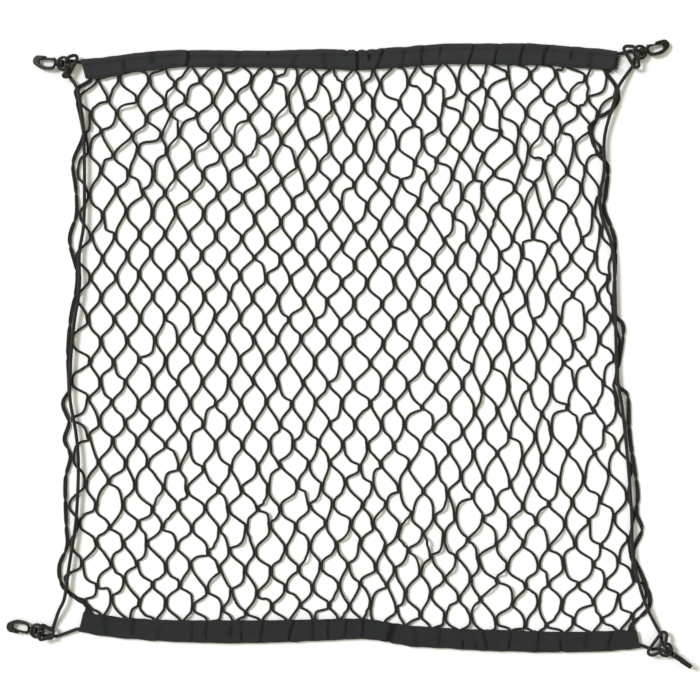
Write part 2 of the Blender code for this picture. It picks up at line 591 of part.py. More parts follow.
def gate_mesh():
    """A springy tongue, round at its root and thinner at its free end, about its hinge."""
    root = arc((0.0, 0.0), GATE_ROOT_RADIUS, 90, 270, 5)
    tip = GATE_TIP_U - GATE_U
    under = [(4.4, -1.3), (8.8, -1.7), (tip, -1.8)]
    over = [(tip, 0.4), (8.2, 0.4), (4.4, 1.3)]
    bm = bmesh.new()
    extrude_outline(bm, root + under + over, lambda u: GATE_HALF_THICKNESS)
    return mesh_from(bm, "gate", 40)


def shave_to_floor(obj):
    """A piece that leans on the floor gets a small flat where it touches."""
    to_world = obj.matrix_world.copy()
    to_local = to_world.inverted()
    for vertex in obj.data.vertices:
        place = to_world @ vertex.co
        if place.z < 0.0:
            place.z = 0.0
            vertex.co = to_local @ place


def swivel_hooks():
    plastic = material("hook_plastic", (0.030, 0.030, 0.024), 0.45)
    ring, hook, gate = ring_mesh(), hook_mesh(), gate_mesh()
    for corner in CORNERS:
        add_object("ring_" + corner.name, ring, plastic, corner_matrix(corner))
        turned_hook = corner_matrix(corner, corner.roll)
        shave_to_floor(add_object("hook_" + corner.name, hook.copy(), plastic, turned_hook))
        hinge = Matrix.Translation(Vector((GATE_U, GATE_V, 0.0)) * MM)
        add_object("gate_" + corner.name, gate, plastic, turned_hook @ hinge)


def main():
    clear_scene()
    net_panel()
    sleeve("sleeve_top", TOP_SLEEVE, (5.5, -5.5))
    sleeve("sleeve_bottom", BOTTOM_SLEEVE, (5.5, -4.5))
    edge_cord()
    swivel_hooks()


main()
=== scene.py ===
# %% [markdown]
# # An elastic cargo net
#
# A net for a car's boot floor, lying loose on a pale table.  Knotless elastic netting is held
# along two edges in folded tape sleeves.  A closed loop of shock cord runs through both sleeves
# and down both sides, and it is hitched to the ring of a swivelling hook at each corner.
#
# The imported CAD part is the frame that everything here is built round.  All sizes below are in
# millimetres, and they become metres only when a mesh is made.

# %% Load the frame
import math
import random
from bisect import bisect_right
from collections import namedtuple

import bmesh
import bpy
from mathutils import Matrix, Vector, noise


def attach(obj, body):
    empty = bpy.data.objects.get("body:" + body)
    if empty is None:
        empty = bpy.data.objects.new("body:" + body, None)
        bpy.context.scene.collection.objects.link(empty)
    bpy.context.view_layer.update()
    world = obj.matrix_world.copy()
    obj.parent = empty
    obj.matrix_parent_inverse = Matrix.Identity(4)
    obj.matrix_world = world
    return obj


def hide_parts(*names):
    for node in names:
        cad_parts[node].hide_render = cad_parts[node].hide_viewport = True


MM = 0.001
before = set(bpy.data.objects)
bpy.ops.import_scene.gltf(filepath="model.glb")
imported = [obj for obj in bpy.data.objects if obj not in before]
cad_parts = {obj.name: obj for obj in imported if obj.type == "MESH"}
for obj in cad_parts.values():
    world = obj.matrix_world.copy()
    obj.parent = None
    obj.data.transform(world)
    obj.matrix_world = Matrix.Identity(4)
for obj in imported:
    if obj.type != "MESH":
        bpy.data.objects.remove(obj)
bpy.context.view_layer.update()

# %% [markdown]
# ## Where we look from
#
# The camera hangs straight above the net, far enough away that a long lens takes it all in.  A
# short lens close by would see the corners aslant and the hooks too large.  The camera is made
# before anything else.

# %% Camera
CAMERA_X, CAMERA_Y, CAMERA_HEIGHT = 1.8, 4.7, 1934.0


def add_object(name, data):
    """An object that shows this data, put in the scene."""
    new = bpy.data.objects.new(name, data)
    bpy.context.scene.collection.objects.link(new)
    return new


camera = add_object("camera", bpy.data.cameras.new("camera"))
camera.data.lens, camera.data.sensor_width = 85.0, 36.0
camera.location = (CAMERA_X * MM, CAMERA_Y * MM, CAMERA_HEIGHT * MM)
bpy.context.scene.camera = camera
print("the camera looks straight down from", round(camera.location.z, 2), "m")

# %% [markdown]
# ## Reading a table smoothly
#
# Cloth that has been laid down by hand follows no formula, so its outlines are kept in short
# tables.  Small helpers read them: lookup eases from row to row, weights tells how much each of
# a few places counts on the smooth curve through them, and curve_through walks along such a
# curve in even steps.  Soft steps and soft bumps turn up all over, so they come first.

# %% Table and curve helpers
def progress(value, start, stop):
    """How far a value has come from start to stop, kept between 0 and 1."""
    return min(max((value - start) / (stop - start), 0), 1)


def eased(t):
    """A share from 0 to 1 that leaves 0 and reaches 1 gently."""
    return t * t * (3 - 2 * t)


def bump(distance, width):
    """One at the middle of a soft bump, and nearly nothing two widths away."""
    return math.exp(-(distance / width) ** 2)


def lookup(rows, key, value, at):
    """Read one column of a table at a place between its rows, eased from row to row."""
    rows = sorted(rows, key=lambda row: getattr(row, key))
    at = min(max(at, getattr(rows[0], key)), getattr(rows[-1], key))
    for low, high in zip(rows, rows[1:]):
        if at <= getattr(high, key):
            share = eased(progress(at, getattr(low, key), getattr(high, key)))
            return getattr(low, value) + (getattr(high, value) - getattr(low, value)) * share
    return getattr(rows[-1], value)


def weights(knots, at):
    """How much each knot counts at a place on the smooth curve through them all."""
    k = min(max(bisect_right(knots, at) - 1, 0), len(knots) - 2)
    t = (at - knots[k]) / (knots[k + 1] - knots[k])
    shares = (-0.5 * t + t ** 2 - 0.5 * t ** 3, 1 - 2.5 * t ** 2 + 1.5 * t ** 3,
              0.5 * t + 2 * t ** 2 - 1.5 * t ** 3, -0.5 * t ** 2 + 0.5 * t ** 3)
    count = [0.0] * (len(knots) + 2)            # one imagined knot beyond each end
    for n, share in enumerate(shares):
        count[k + n] += share
    count[1] += 2 * count[0]
    count[2] -= count[0]
    count[-2] += 2 * count[-1]
    count[-3] -= count[-1]
    return count[1:-1]


def curve_through(points, spacing):
    """Points about one spacing apart along a smooth curve through the given ones."""
    points = [Vector(p) for p in points]
    ends = [2 * points[0] - points[1], *points, 2 * points[-1] - points[-2]]
    route = []
    for before, start, end, after in zip(ends, ends[1:], ends[2:], ends[3:]):
        steps = max(1, round((end - start).length / spacing))
        for step in range(steps):
            t = step / steps
            route.append(0.5 * (2 * start + (end - before) * t
                                + (2 * before - 5 * start + 4 * end - after) * t ** 2
                                + (3 * start - before - 3 * end + after) * t ** 3))
    return route + [points[-1]]


def length_of(line):
    """The length of a line through these points, in millimetres."""
    return sum((b - a).length for a, b in zip(line, line[1:]))


print("halfway along, the smooth curve weighs its knots", weights((0, 1, 2, 3), 1.5))

# %% [markdown]
# ## The outlines
#
# The tables repeat the CAD part's: the two tape sleeves from end to end, the wavy selvedges of
# the netting, and the shock cord that runs down beside each of them.  Curves drawn by hand in the
# viewport would do as well, but a table can be read and corrected in the script, and it keeps the
# dressed net over the plain solids that it stands for.

# %% Sleeves, selvedges and side cords
SleeveRow = namedtuple("SleeveRow", "x fold_y inner_y")     # the folded edge, and the open one
EdgeRow = namedtuple("EdgeRow", "x y")
CordRow = namedtuple("CordRow", "x y clear")                # clear: how far it stands over the selvedge

TOP_SLEEVE = tuple(SleeveRow(*row) for row in (
    (-312.5, 344.3, 322.2), (-292, 346.0, 321.5), (-273, 348.5, 325.0), (-246, 352.0, 330.0),
    (-219, 354.5, 333.0), (-197, 355.5, 335.5), (-188, 355.0, 336.0), (-160, 355.0, 335.5),
    (-122, 354.5, 335.5), (-85, 354.5, 335.0), (-50, 356.0, 334.0), (-22, 356.3, 332.8),
    (-9, 355.8, 332.5), (4, 355.5, 332.0), (16, 355.8, 332.0), (27, 356.3, 333.0),
    (33, 356.6, 333.3), (43, 358.0, 334.0), (65, 359.0, 335.5), (88, 361.0, 337.5),
    (112, 362.5, 339.0), (146, 363.0, 339.0), (177, 363.0, 338.5), (206, 363.0, 338.0),
    (233, 361.5, 337.5), (264, 359.0, 335.0), (290, 357.0, 333.5), (314, 354.3, 331.8)))
BOTTOM_SLEEVE = tuple(SleeveRow(*row) for row in (
    (-315, -324.5, -301.5), (-291, -329.0, -305.0), (-260, -332.5, -308.5), (-226, -335.0, -310.5),
    (-197, -336.5, -311.5), (-164, -337.5, -311.5), (-136, -338.0, -311.5), (-101, -337.5, -311.5),
    (-68, -336.5, -311.0), (-43, -335.5, -310.5), (-22, -334.5, -310.0), (-2, -333.5, -309.5),
    (15, -333.0, -309.5), (31, -334.0, -311.0), (46, -337.0, -313.5), (53, -338.5, -315.0),
    (76, -342.0, -318.0), (106, -343.5, -320.0), (136, -345.5, -322.0), (163, -347.0, -322.5),
    (191, -347.5, -323.0), (220, -348.5, -324.5), (248, -348.5, -325.0), (277, -348.0, -325.0),
    (302, -347.5, -324.0), (322, -345.5, -323.0), (341, -343.7, -323.2)))
LEFT_SELVEDGE = tuple(EdgeRow(*row) for row in (
    (-300, 334), (-301, 321), (-317, 310), (-318, 300), (-311, 268), (-311, 252), (-322, 224),
    (-319, 195), (-318, 164), (-326, 133), (-317, 90), (-325, 40), (-328, 0), (-327, -40),
    (-334, -58), (-327, -80), (-332, -100), (-325, -120), (-331, -148), (-330, -200), (-329, -224),
    (-338, -248), (-335, -270), (-320, -284), (-303, -299), (-300, -318)))
RIGHT_SELVEDGE = tuple(EdgeRow(*row) for row in (
    (297, 345), (300, 331), (312, 314), (316, 300), (308, 286), (289, 273), (284, 256), (291, 235),
    (303, 219), (301, 188), (299, 169), (309, 143), (312, 122), (311, 52), (320, 36), (321, 20),
    (314, -32), (326, -48), (328, -80), (330, -105), (338, -160), (337, -186), (343, -206),
    (333, -232), (343, -258), (352, -282), (350, -298), (331, -317), (326, -334)))
LEFT_CORD = tuple(CordRow(*row) for row in (
    (-318, 313, 2.0), (-314, 300, 1.6), (-309, 256, 0.3), (-308, 196, 0.3), (-309, 150, 0.6),
    (-314, 118, 0.3), (-314, 76, 1.2), (-320, 36, 0.6), (-324, -7, 0.3), (-325, -50, 0.8),
    (-318, -92, 0.3), (-315, -132, 0.9), (-318, -195, 0.3), (-326, -248, 0.6), (-331, -284, 1.4),
    (-338, -300, 1.2)))
RIGHT_CORD = tuple(CordRow(*row) for row in (
    (315, 312, 2.4), (310, 295, 2.2), (299, 255, 0.9), (298, 213, 1.4), (293, 184, 0.8),
    (296, 160, 0.3), (308, 123, 0.9), (311, 69, 0.3), (312, 15, 0.9), (314, -30, 0.3),
    (319, -60, 0.9), (325, -115, 0.3), (330, -180, 1.1), (332, -234, 0.4), (341, -275, 1.5),
    (350, -300, 2.2)))
print("the outlines take", sum(map(len, (TOP_SLEEVE, BOTTOM_SLEEVE, LEFT_SELVEDGE, RIGHT_SELVEDGE,
                                         LEFT_CORD, RIGHT_CORD))), "places")

# %% [markdown]
# ## One tree that turns lines into cord
#
# Building a node tree in a script takes the same few lines over and over: make a node, set it,
# link its sockets.  So those lines are written once, and they serve the materials as well.
#
# Every cord here is a line with a thickness.  A single Geometry Nodes tree sweeps an oval along
# the lines, lets the oval turn slowly as a real flattened cord does, and keeps on each point
# where it is on the cord: the cosine and sine round it, and the length along it.  The braid in
# the materials reads that, so it follows every bend without a seam.

# %% Node helpers
def add_node(tree, kind, inputs=None, **settings):
    """A node with its settings, each input linked to a socket or set to a value."""
    node = tree.nodes.new(kind)
    for name, value in settings.items():
        setattr(node, name, value)
    for name, value in (inputs or {}).items():
        if isinstance(value, bpy.types.NodeSocket):
            tree.links.new(value, node.inputs[name])
        else:
            node.inputs[name].default_value = value
    return node


def maths(tree, operation, *values):
    """A Math node, its inputs given as sockets or numbers."""
    return add_node(tree, "ShaderNodeMath", dict(enumerate(values)), operation=operation).outputs["Value"]


def axes(tree, vector):
    """The three parts of a vector."""
    part = add_node(tree, "ShaderNodeSeparateXYZ", {"Vector": vector})
    return part.outputs["X"], part.outputs["Y"], part.outputs["Z"]


def node_group(kind, name, inputs, output, output_kind):
    """An empty group with its named inputs and one output, and what goes in and comes out."""
    tree = bpy.data.node_groups.new(name, kind + "NodeTree")
    for label, socket_kind, default in inputs:
        socket = tree.interface.new_socket(label, in_out="INPUT", socket_type="NodeSocket" + socket_kind)
        if default is not None:
            socket.default_value = default
    tree.interface.new_socket(output, in_out="OUTPUT", socket_type="NodeSocket" + output_kind)
    return tree, tree.nodes.new("NodeGroupInput").outputs, tree.nodes.new("NodeGroupOutput").inputs


def geometry_tree(name, sizes):
    """A Geometry Nodes tree with these sizes and a finish as its inputs."""
    return node_group("Geometry", name, (("Geometry", "Geometry", None), *sizes, ("Finish", "Material", None)),
                      "Geometry", "Geometry")


def end_tree(tree, geometry, given, result):
    """Smooth shading, real geometry in place of instances, and the finish."""
    smooth = add_node(tree, "GeometryNodeSetShadeSmooth", {"Geometry": geometry})
    real = add_node(tree, "GeometryNodeRealizeInstances", {"Geometry": smooth.outputs["Geometry"]})
    dressed = add_node(tree, "GeometryNodeSetMaterial",
                       {"Geometry": real.outputs["Geometry"], "Material": given["Finish"]})
    tree.links.new(dressed.outputs["Geometry"], result["Geometry"])


print("a tree is now its inputs, its nodes and one common end")

# %% The cord tree
def kept_on(tree, geometry, kind, name, value):
    """Store a value on the points of a curve, so that it outlives the sweep."""
    node = tree.nodes.new("GeometryNodeCaptureAttribute")
    node.capture_items.new(kind, name)
    tree.links.new(geometry, node.inputs["Geometry"])
    tree.links.new(value, node.inputs[name])
    return node.outputs["Geometry"], node.outputs[name]


def make_cord_tree():
    tree, given, result = geometry_tree("sweep cord", (
        ("Width", "Float", 0.0025), ("Thickness", "Float", 0.002), ("Sides", "Int", 8),
        ("Twist", "Float", 0.0), ("Lies Flat", "Bool", False)))
    place = add_node(tree, "GeometryNodeInputPosition").outputs["Position"]

    line = add_node(tree, "GeometryNodeMeshToCurve", {"Mesh": given["Geometry"]})
    level = add_node(tree, "GeometryNodeSetCurveNormal",
                     {"Curve": line.outputs["Curve"], "Selection": given["Lies Flat"]}, mode="Z_UP")
    wander = add_node(tree, "ShaderNodeTexNoise", {"Vector": place, "Scale": 26.0, "Detail": 1.0})
    turn = maths(tree, "MULTIPLY", wander.outputs["Fac"], given["Twist"])
    tilt = add_node(tree, "GeometryNodeSetCurveTilt", {"Curve": level.outputs["Curve"], "Tilt": turn})
    along = add_node(tree, "GeometryNodeSplineParameter")
    path, length = kept_on(tree, tilt.outputs["Curve"], "FLOAT", "Length", along.outputs["Length"])

    circle = add_node(tree, "GeometryNodeCurvePrimitiveCircle", {"Radius": 1.0, "Resolution": given["Sides"]})
    section, around = kept_on(tree, circle.outputs["Curve"], "VECTOR", "Round", place)
    size = add_node(tree, "ShaderNodeCombineXYZ", {"X": given["Thickness"], "Y": given["Width"]})
    half = add_node(tree, "ShaderNodeVectorMath", {0: size.outputs["Vector"], "Scale": 0.5}, operation="SCALE")
    oval = add_node(tree, "GeometryNodeTransform", {"Geometry": section, "Scale": half.outputs["Vector"]})

    sweep = add_node(tree, "GeometryNodeCurveToMesh",
                     {"Curve": path, "Profile Curve": oval.outputs["Geometry"], "Fill Caps": True})
    cosine, sine, _ = axes(tree, around)
    lay = add_node(tree, "ShaderNodeCombineXYZ", {"X": cosine, "Y": sine, "Z": length})
    store = add_node(tree, "GeometryNodeStoreNamedAttribute",
                     {"Geometry": sweep.outputs["Mesh"], "Name": "lay", "Value": lay.outputs["Vector"]},
                     data_type="FLOAT_VECTOR", domain="POINT")
    end_tree(tree, store.outputs["Geometry"], given, result)
    return tree


CORD_TREE = make_cord_tree()
print("the cord tree has", len(CORD_TREE.nodes), "nodes")

# %% Growing a piece from lines
def plain_mesh(piece):
    """What an object's modifiers make of it, as a mesh of its own."""
    return bpy.data.meshes.new_from_object(piece.evaluated_get(bpy.context.evaluated_depsgraph_get()))


def grown(name, start, tree, settings):
    """Run a mesh through a Geometry Nodes tree, and keep the result as a plain mesh object."""
    seed = add_object(name + "_seed", start)
    modifier = seed.modifiers.new("grow", "NODES")
    modifier.node_group = tree
    for item in tree.interface.items_tree:
        if item.item_type == "SOCKET" and item.in_out == "INPUT" and item.name in settings:
            modifier[item.identifier] = settings[item.name]
    mesh = plain_mesh(seed)
    bpy.data.objects.remove(seed, do_unlink=True)
    mesh.name = name
    return add_object(name, mesh)


def lines_mesh(name, lines, closed=False):
    """Loose edges along lists of points in millimetres."""
    places, edges = [], []
    for line in lines:
        first = len(places)
        places += [Vector(p) * MM for p in line]
        edges += [(n, n + 1) for n in range(first, len(places) - 1)]
        if closed:
            edges.append((len(places) - 1, first))
    mesh = bpy.data.meshes.new(name)
    mesh.from_pydata(places, edges, [])
    return mesh


def triangles(piece):
    """How many triangles a piece takes."""
    piece.data.calc_loop_triangles()
    return len(piece.data.loop_triangles)


print("grown makes a piece of any lines: the tree has", len(CORD_TREE.interface.items_tree), "sockets")

# %% [markdown]
# ## Where the joints of the netting lie
#
# The netting is a lattice, 22 meshes across and 28 half rows down, which was tossed down and
# pulled roughly square.  A plain grid would look far too tidy.  So a few places of the real lay
# are given, about every fifth column and fourth row, a smooth surface runs through them, and
# each joint strays a little from it.  The first and last rows are sewn inside the sleeves.
# The net isn't quite flat either.  It stands up in a few soft humps, and the farther it is from
# its calm middle, the more untidily it lies.

# %% The lay of the lattice
MESHES_ACROSS, HALF_ROWS = 22, 28
LAST_COLUMN = 2 * MESHES_ACROSS              # columns count half meshes, as rows do
FIRST_COLUMN, MIDDLE_ROW = -21, 14           # the table counts from the middle of the net
MESH_COLUMNS = (-20, -15, -10, -5, 0, 5, 10, 15, 21)
MeshRow = namedtuple("MeshRow", "row places")
MESH_ROWS = (
    MeshRow(-13, ((-296, 322), (-217, 320), (-143, 321), (-72, 318), (-6, 315), (55, 318), (126, 320),
                  (195, 328), (284, 325))),
    MeshRow(-9, ((-302, 234), (-227, 234), (-152, 231), (-77, 224), (-8, 219), (63, 223), (130, 231),
                 (203, 239), (280, 239))),
    MeshRow(-5, ((-302, 136), (-230, 139), (-156, 138), (-80, 131), (-8, 126), (65, 129), (139, 135),
                 (206, 140), (285, 139))),
    MeshRow(0, ((-304, 15), (-228, 17), (-155, 18), (-84, 17), (-9, 14), (72, 11), (143, 12),
                (207, 13), (293, 16))),
    MeshRow(5, ((-307, -99), (-231, -105), (-155, -106), (-80, -105), (-6, -104), (69, -106),
                (149, -117), (216, -120), (303, -111))),
    MeshRow(9, ((-312, -200), (-232, -201), (-153, -206), (-78, -203), (2, -198), (74, -208),
                (140, -217), (222, -226), (315, -218))),
    MeshRow(13, ((-305, -288), (-227, -292), (-150, -299), (-72, -298), (2, -292), (68, -303),
                 (144, -310), (221, -314), (316, -308))),
)


def mesh_place(column, row):
    """A place on the smooth surface through the table's places."""
    down, across = weights([r.row for r in MESH_ROWS], row), weights(MESH_COLUMNS, column)
    place = Vector((0.0, 0.0))
    for share, mesh_row in zip(down, MESH_ROWS):
        for weight, point in zip(across, mesh_row.places):
            place += share * weight * Vector(point)
    return place


print("the surface runs through", len(MESH_ROWS) * len(MESH_COLUMNS), "places")

# %% Humps and untidy places
Hump = namedtuple("Hump", "x y reach height")
# Where the netting stands off the table, in soft humps: the middle of each, its reach and height.
HUMPS = (
    Hump(-235, 275, 85, 4.5), Hump(-140, 240, 80, 2.5), Hump(-60, 265, 70, 2.0),
    Hump(15, 180, 45, 1.5), Hump(105, 180, 55, 2.5), Hump(225, 250, 75, 4.0),
    Hump(-40, -20, 60, 1.5), Hump(130, -20, 60, 1.0), Hump(-60, -240, 90, 2.5),
    Hump(70, -230, 60, 4.5), Hump(190, -250, 70, 4.0), Hump(-270, -120, 50, 1.0))
# How far more the joints stray where the netting is crumpled, under the top sleeve's two ends.
CRUMPLES = (Hump(-270, 300, 100, 1.8), Hump(240, 290, 130, 2.0))
CALM_X, CALM_Y = -115, 70                    # the middle of the part that lies regularly
CALM_WIDE, CALM_HIGH = 265, 220              # one step away from it, across and up
UNREST_FROM, UNREST_TO = 0.5, 1.25           # the steps over which the lay grows untidy


def humped(humps, x, y):
    """How high a table of humps reaches here."""
    return sum(hump.height * bump(math.hypot(x - hump.x, y - hump.y), hump.reach) for hump in humps)


def unrest(x, y):
    """How untidily the netting lies here: from 0 where it is regular to 1 at the edges."""
    away = math.hypot((x - CALM_X) / CALM_WIDE, (y - CALM_Y) / CALM_HIGH)
    return eased(progress(away, UNREST_FROM, UNREST_TO))


print("unrest is", round(unrest(CALM_X, CALM_Y), 2), "in the calm part and", round(unrest(300, -300), 2),
      "at the lower right")

# %% Joints
CORD_HALF = 1.2                              # half the netting cord's thickness, so its height on the table
SLEEVE_GRIP, SLEEVE_MARGIN = 4.2, 6          # the end joints' depth inside a sleeve, and from its ends
SLEEVE_SLOT_Z = 2.6                          # and their height between its two layers
EDGE_REACH = 2.9                             # from a selvedge's middle to the joints on it
JOINT_LIFT, LIFT_SHARES = 0.3, (0.4, 1.0)    # a joint's share of its hump's height, and how it varies
CALM_STRAY, UNREST_STRAY = 0.9, 1.4          # how far joints stray in the calm part, and how far more
STRAY_ACROSS, STRAY_UP, MOST_STRAYS = 1, 0.9, 2
LEAN, LEAN_STRAY, SLEEVE_LEAN = 0.6, 0.13, 0.4      # how far a joint leans after its neighbours
KNIT_HALF = (2.3, 3.6)                       # half of a joint's length

Joint = namedtuple("Joint", "place axis half")


def joint_places(stray):
    """The middle of each joint, by its column and row."""
    places = {}
    for j in range(HALF_ROWS + 1):
        for i in range(j % 2, LAST_COLUMN + 1, 2):
            x, y = mesh_place(i + FIRST_COLUMN, j - MIDDLE_ROW)
            lift = JOINT_LIFT * humped(HUMPS, x, y) * stray.uniform(*LIFT_SHARES)
            z = CORD_HALF + (lift if 0 < i < LAST_COLUMN else 0)
            if j in (0, HALF_ROWS):
                rows, inward = (TOP_SLEEVE, 1) if j == 0 else (BOTTOM_SLEEVE, -1)
                x = min(max(x, rows[0].x + SLEEVE_MARGIN), rows[-1].x - SLEEVE_MARGIN)
                y, z = lookup(rows, "x", "inner_y", x) + inward * SLEEVE_GRIP, SLEEVE_SLOT_Z
            elif i == 0:
                x = lookup(LEFT_SELVEDGE, "y", "x", y) + EDGE_REACH
            elif i == LAST_COLUMN:
                x = lookup(RIGHT_SELVEDGE, "y", "x", y) - EDGE_REACH
            else:
                spread = CALM_STRAY + UNREST_STRAY * unrest(x, y) + humped(CRUMPLES, x, y)
                x += spread * min(max(stray.gauss(0, STRAY_ACROSS), -MOST_STRAYS), MOST_STRAYS)
                y += spread * min(max(stray.gauss(0, STRAY_UP), -MOST_STRAYS), MOST_STRAYS)
            places[i, j] = Vector((x, y, z))
    return places


def lay_joints():
    """Each joint leans from its lower neighbours to its upper ones, and holds its cords for a way."""
    stray = random.Random(23)
    places = joint_places(stray)
    joints = {}
    for (i, j), place in places.items():
        above = [places[n, j - 1] for n in (i - 1, i + 1) if (n, j - 1) in places]
        below = [places[n, j + 1] for n in (i - 1, i + 1) if (n, j + 1) in places]
        axis = Vector((0, 1, 0))
        if above and below:
            axis = sum(above, Vector()) / len(above) - sum(below, Vector()) / len(below)
        lean = math.atan2(axis.x, axis.y) * LEAN + stray.gauss(0, LEAN_STRAY)
        if j in (0, HALF_ROWS):
            lean *= SLEEVE_LEAN
        joints[i, j] = Joint(place, Vector((math.sin(lean), math.cos(lean), 0)), stray.uniform(*KNIT_HALF))
    return joints


JOINTS = lay_joints()

# %% [markdown]
# ## The netting's cords
#
# Each cord zigzags down the net between two columns, and at every joint it runs beside its
# neighbour, where the two are knitted together.  Between joints it is slack, so no two strands
# bend alike: each leaves its joint for a longer or shorter way before it turns, some turn one
# sharp corner, and some have a kink.  Near the edges they lie less tidily.  Slack strands also
# stand up off the table, which is what throws their shadows.

# %% Netting cords
CORD_WIDTH, CORD_THICKNESS = 3.2, 2.4
STRAND_STEPS = 10
LEAVE = (0.06, 0.42)                         # a strand holds its joint's direction for this share of its way
ELBOWS, CALM_ELBOWS = 0.30, 0.2              # how likely one sharp corner is, and its share where it's calm
ELBOW_PLACES, ELBOW_BEND = ((0.14, 0.86), (0.86, 0.14)), (0.4, 0.9)
BOW, UNREST_BOW = 0.5, 0.6                   # how far a strand bows aside, and how far more if untidy
KINKED, MOST_KINK = (0, 0, 1), 1.9           # one strand in three has a kink, and it goes this far aside
KINK_AT, KINK_WIDTH = (0.3, 0.7), (0.14, 0.22)
LEAST_ARCH, MORE_ARCH, UNREST_ARCH, HUMP_ARCH = 0.2, 0.9, 0.9, 0.7     # how a strand stands up
BESIDE, PINCH = 0.46, 0.12                   # the cords' places in a joint, as shares of their width


def strand(start, leave, end, arrive, slack):
    """One strand from joint to joint, as the points between them."""
    length = (end - start).length
    first = start + leave * length * slack.uniform(*LEAVE)
    last = end - arrive * length * slack.uniform(*LEAVE)
    middle = (start + end) / 2
    rough = unrest(middle.x, middle.y)
    if slack.random() < ELBOWS * (CALM_ELBOWS + rough):
        near_x, near_y = slack.choice(ELBOW_PLACES)
        elbow = Vector((start.x + (end.x - start.x) * near_x, start.y + (end.y - start.y) * near_y, start.z))
        bend = slack.uniform(*ELBOW_BEND)
        first, last = first.lerp(elbow, bend), last.lerp(elbow, bend)
    across = Vector((-(end - start).y, (end - start).x, 0)).normalized()
    bow = slack.gauss(0, BOW + UNREST_BOW * rough)
    kink = slack.choice(KINKED) * slack.uniform(-MOST_KINK, MOST_KINK) * (0.5 + 0.5 * rough)
    kink_at, kink_width = slack.uniform(*KINK_AT), slack.uniform(*KINK_WIDTH)
    most_arch = MORE_ARCH + UNREST_ARCH * rough + HUMP_ARCH * humped(HUMPS, middle.x, middle.y)
    arch = LEAST_ARCH + most_arch * slack.uniform(0.0, 1.0) ** 3
    points = []
    for step in range(1, STRAND_STEPS):
        t = step / STRAND_STEPS
        s = 1 - t
        swell = math.sin(math.pi * t)
        p = s ** 3 * start + 3 * s * s * t * first + 3 * s * t * t * last + t ** 3 * end
        p += across * (bow * swell + kink * bump(t - kink_at, kink_width) * swell)
        p.z += arch * swell ** 2
        points.append(p)
    return points


def netting_cords():
    """Every cord of the netting, from the top sleeve to the bottom one."""
    slack = random.Random(5)
    cords = []
    for c in range(LAST_COLUMN):
        course, last = [], None
        for j in range(HALF_ROWS + 1):
            on_left = (c + j) % 2 == 0
            joint = JOINTS[c if on_left else c + 1, j]
            beside = Vector((joint.axis.y, -joint.axis.x, 0)) * (1 if on_left else -1) * BESIDE * CORD_WIDTH
            top, bottom = (joint.place + beside + joint.axis * joint.half * side for side in (1, -1))
            if last:
                course += strand(last[0], -last[1], top, -joint.axis, slack)
            course += [top, (top + bottom) / 2 - beside * PINCH, bottom]
            last = bottom, joint.axis
        cords.append(course)
    return cords


cord_lines = netting_cords()
print("the netting's cords are", round(sum(map(length_of, cord_lines)) * MM, 1), "m long in all")

# %% [markdown]
# ## The selvedges
#
# Down each side the netting ends in a doubled cord.  Its two strands lie side by side and swap
# places every few centimetres, so it reads as a loose twist that waves in and out beside the
# straight shock cord.  Two even helices would look like machine-made rope.  Here the strands
# mostly lie flat on the table and change over in a short part of each length.

# %% Selvedges
SELVEDGE_CORD, SELVEDGE_FLATNESS = 2.7, 0.85
SELVEDGE_STEP = 2.2
TWIST_LENGTH = 34.0                          # from one swap of the strands to the next
TWIST_DRIFT, DRIFT_LENGTH = 0.2, 47          # how unevenly they come, and over what length
SWAP_FROM, SWAP_TO = 0.32, 0.68              # the part of each twist in which they swap
STRANDS_APART, STRANDS_Z, STRANDS_OVER = 1.12, 1.55, 0.4     # half their distance, height and crossing
POINTS_IN_SLEEVE = 6                         # at either end


def selvedge_strands(table, seed):
    """The two strands of one selvedge, each as a list of points."""
    wander = random.Random(seed)
    middle = curve_through([(row.x, row.y, 0) for row in table], SELVEDGE_STEP)
    strands, run, drift = ([], []), 0.0, wander.uniform(0, 6)
    for k, point in enumerate(middle):
        before, after = middle[max(k - 1, 0)], middle[min(k + 1, len(middle) - 1)]
        run += (point - before).length
        phase = run / TWIST_LENGTH + TWIST_DRIFT * math.sin(run / DRIFT_LENGTH + drift)
        turn = math.pi * (math.floor(phase) + progress(phase % 1, SWAP_FROM, SWAP_TO))
        across = Vector((-(after - before).y, (after - before).x, 0)).normalized()
        inside = min(k, len(middle) - 1 - k) < POINTS_IN_SLEEVE
        for side, line in zip((1, -1), strands):
            z = SLEEVE_SLOT_Z if inside else STRANDS_Z + side * STRANDS_OVER * math.sin(turn)
            line.append(point + across * side * STRANDS_APART * math.cos(turn) + Vector((0, 0, z)))
    return list(strands)


selvedge_lines = selvedge_strands(LEFT_SELVEDGE, 3) + selvedge_strands(RIGHT_SELVEDGE, 8)
print("the selvedges hold", round(sum(map(length_of, selvedge_lines)) * MM, 2), "m of cord")

# %% [markdown]
# ## The shock cord's route
#
# One loop of elastic cord holds the whole net.  At each corner it makes a lark's head on the
# hook's ring: both ends go under the bight, up through the ring, over its bar, and out through
# the bight.  The route is worked out in the hook's own directions, u from the ring to the tip
# and v to its side.  The corner table is the CAD part's, but for the lower left hitch, which is
# drawn a little tighter.

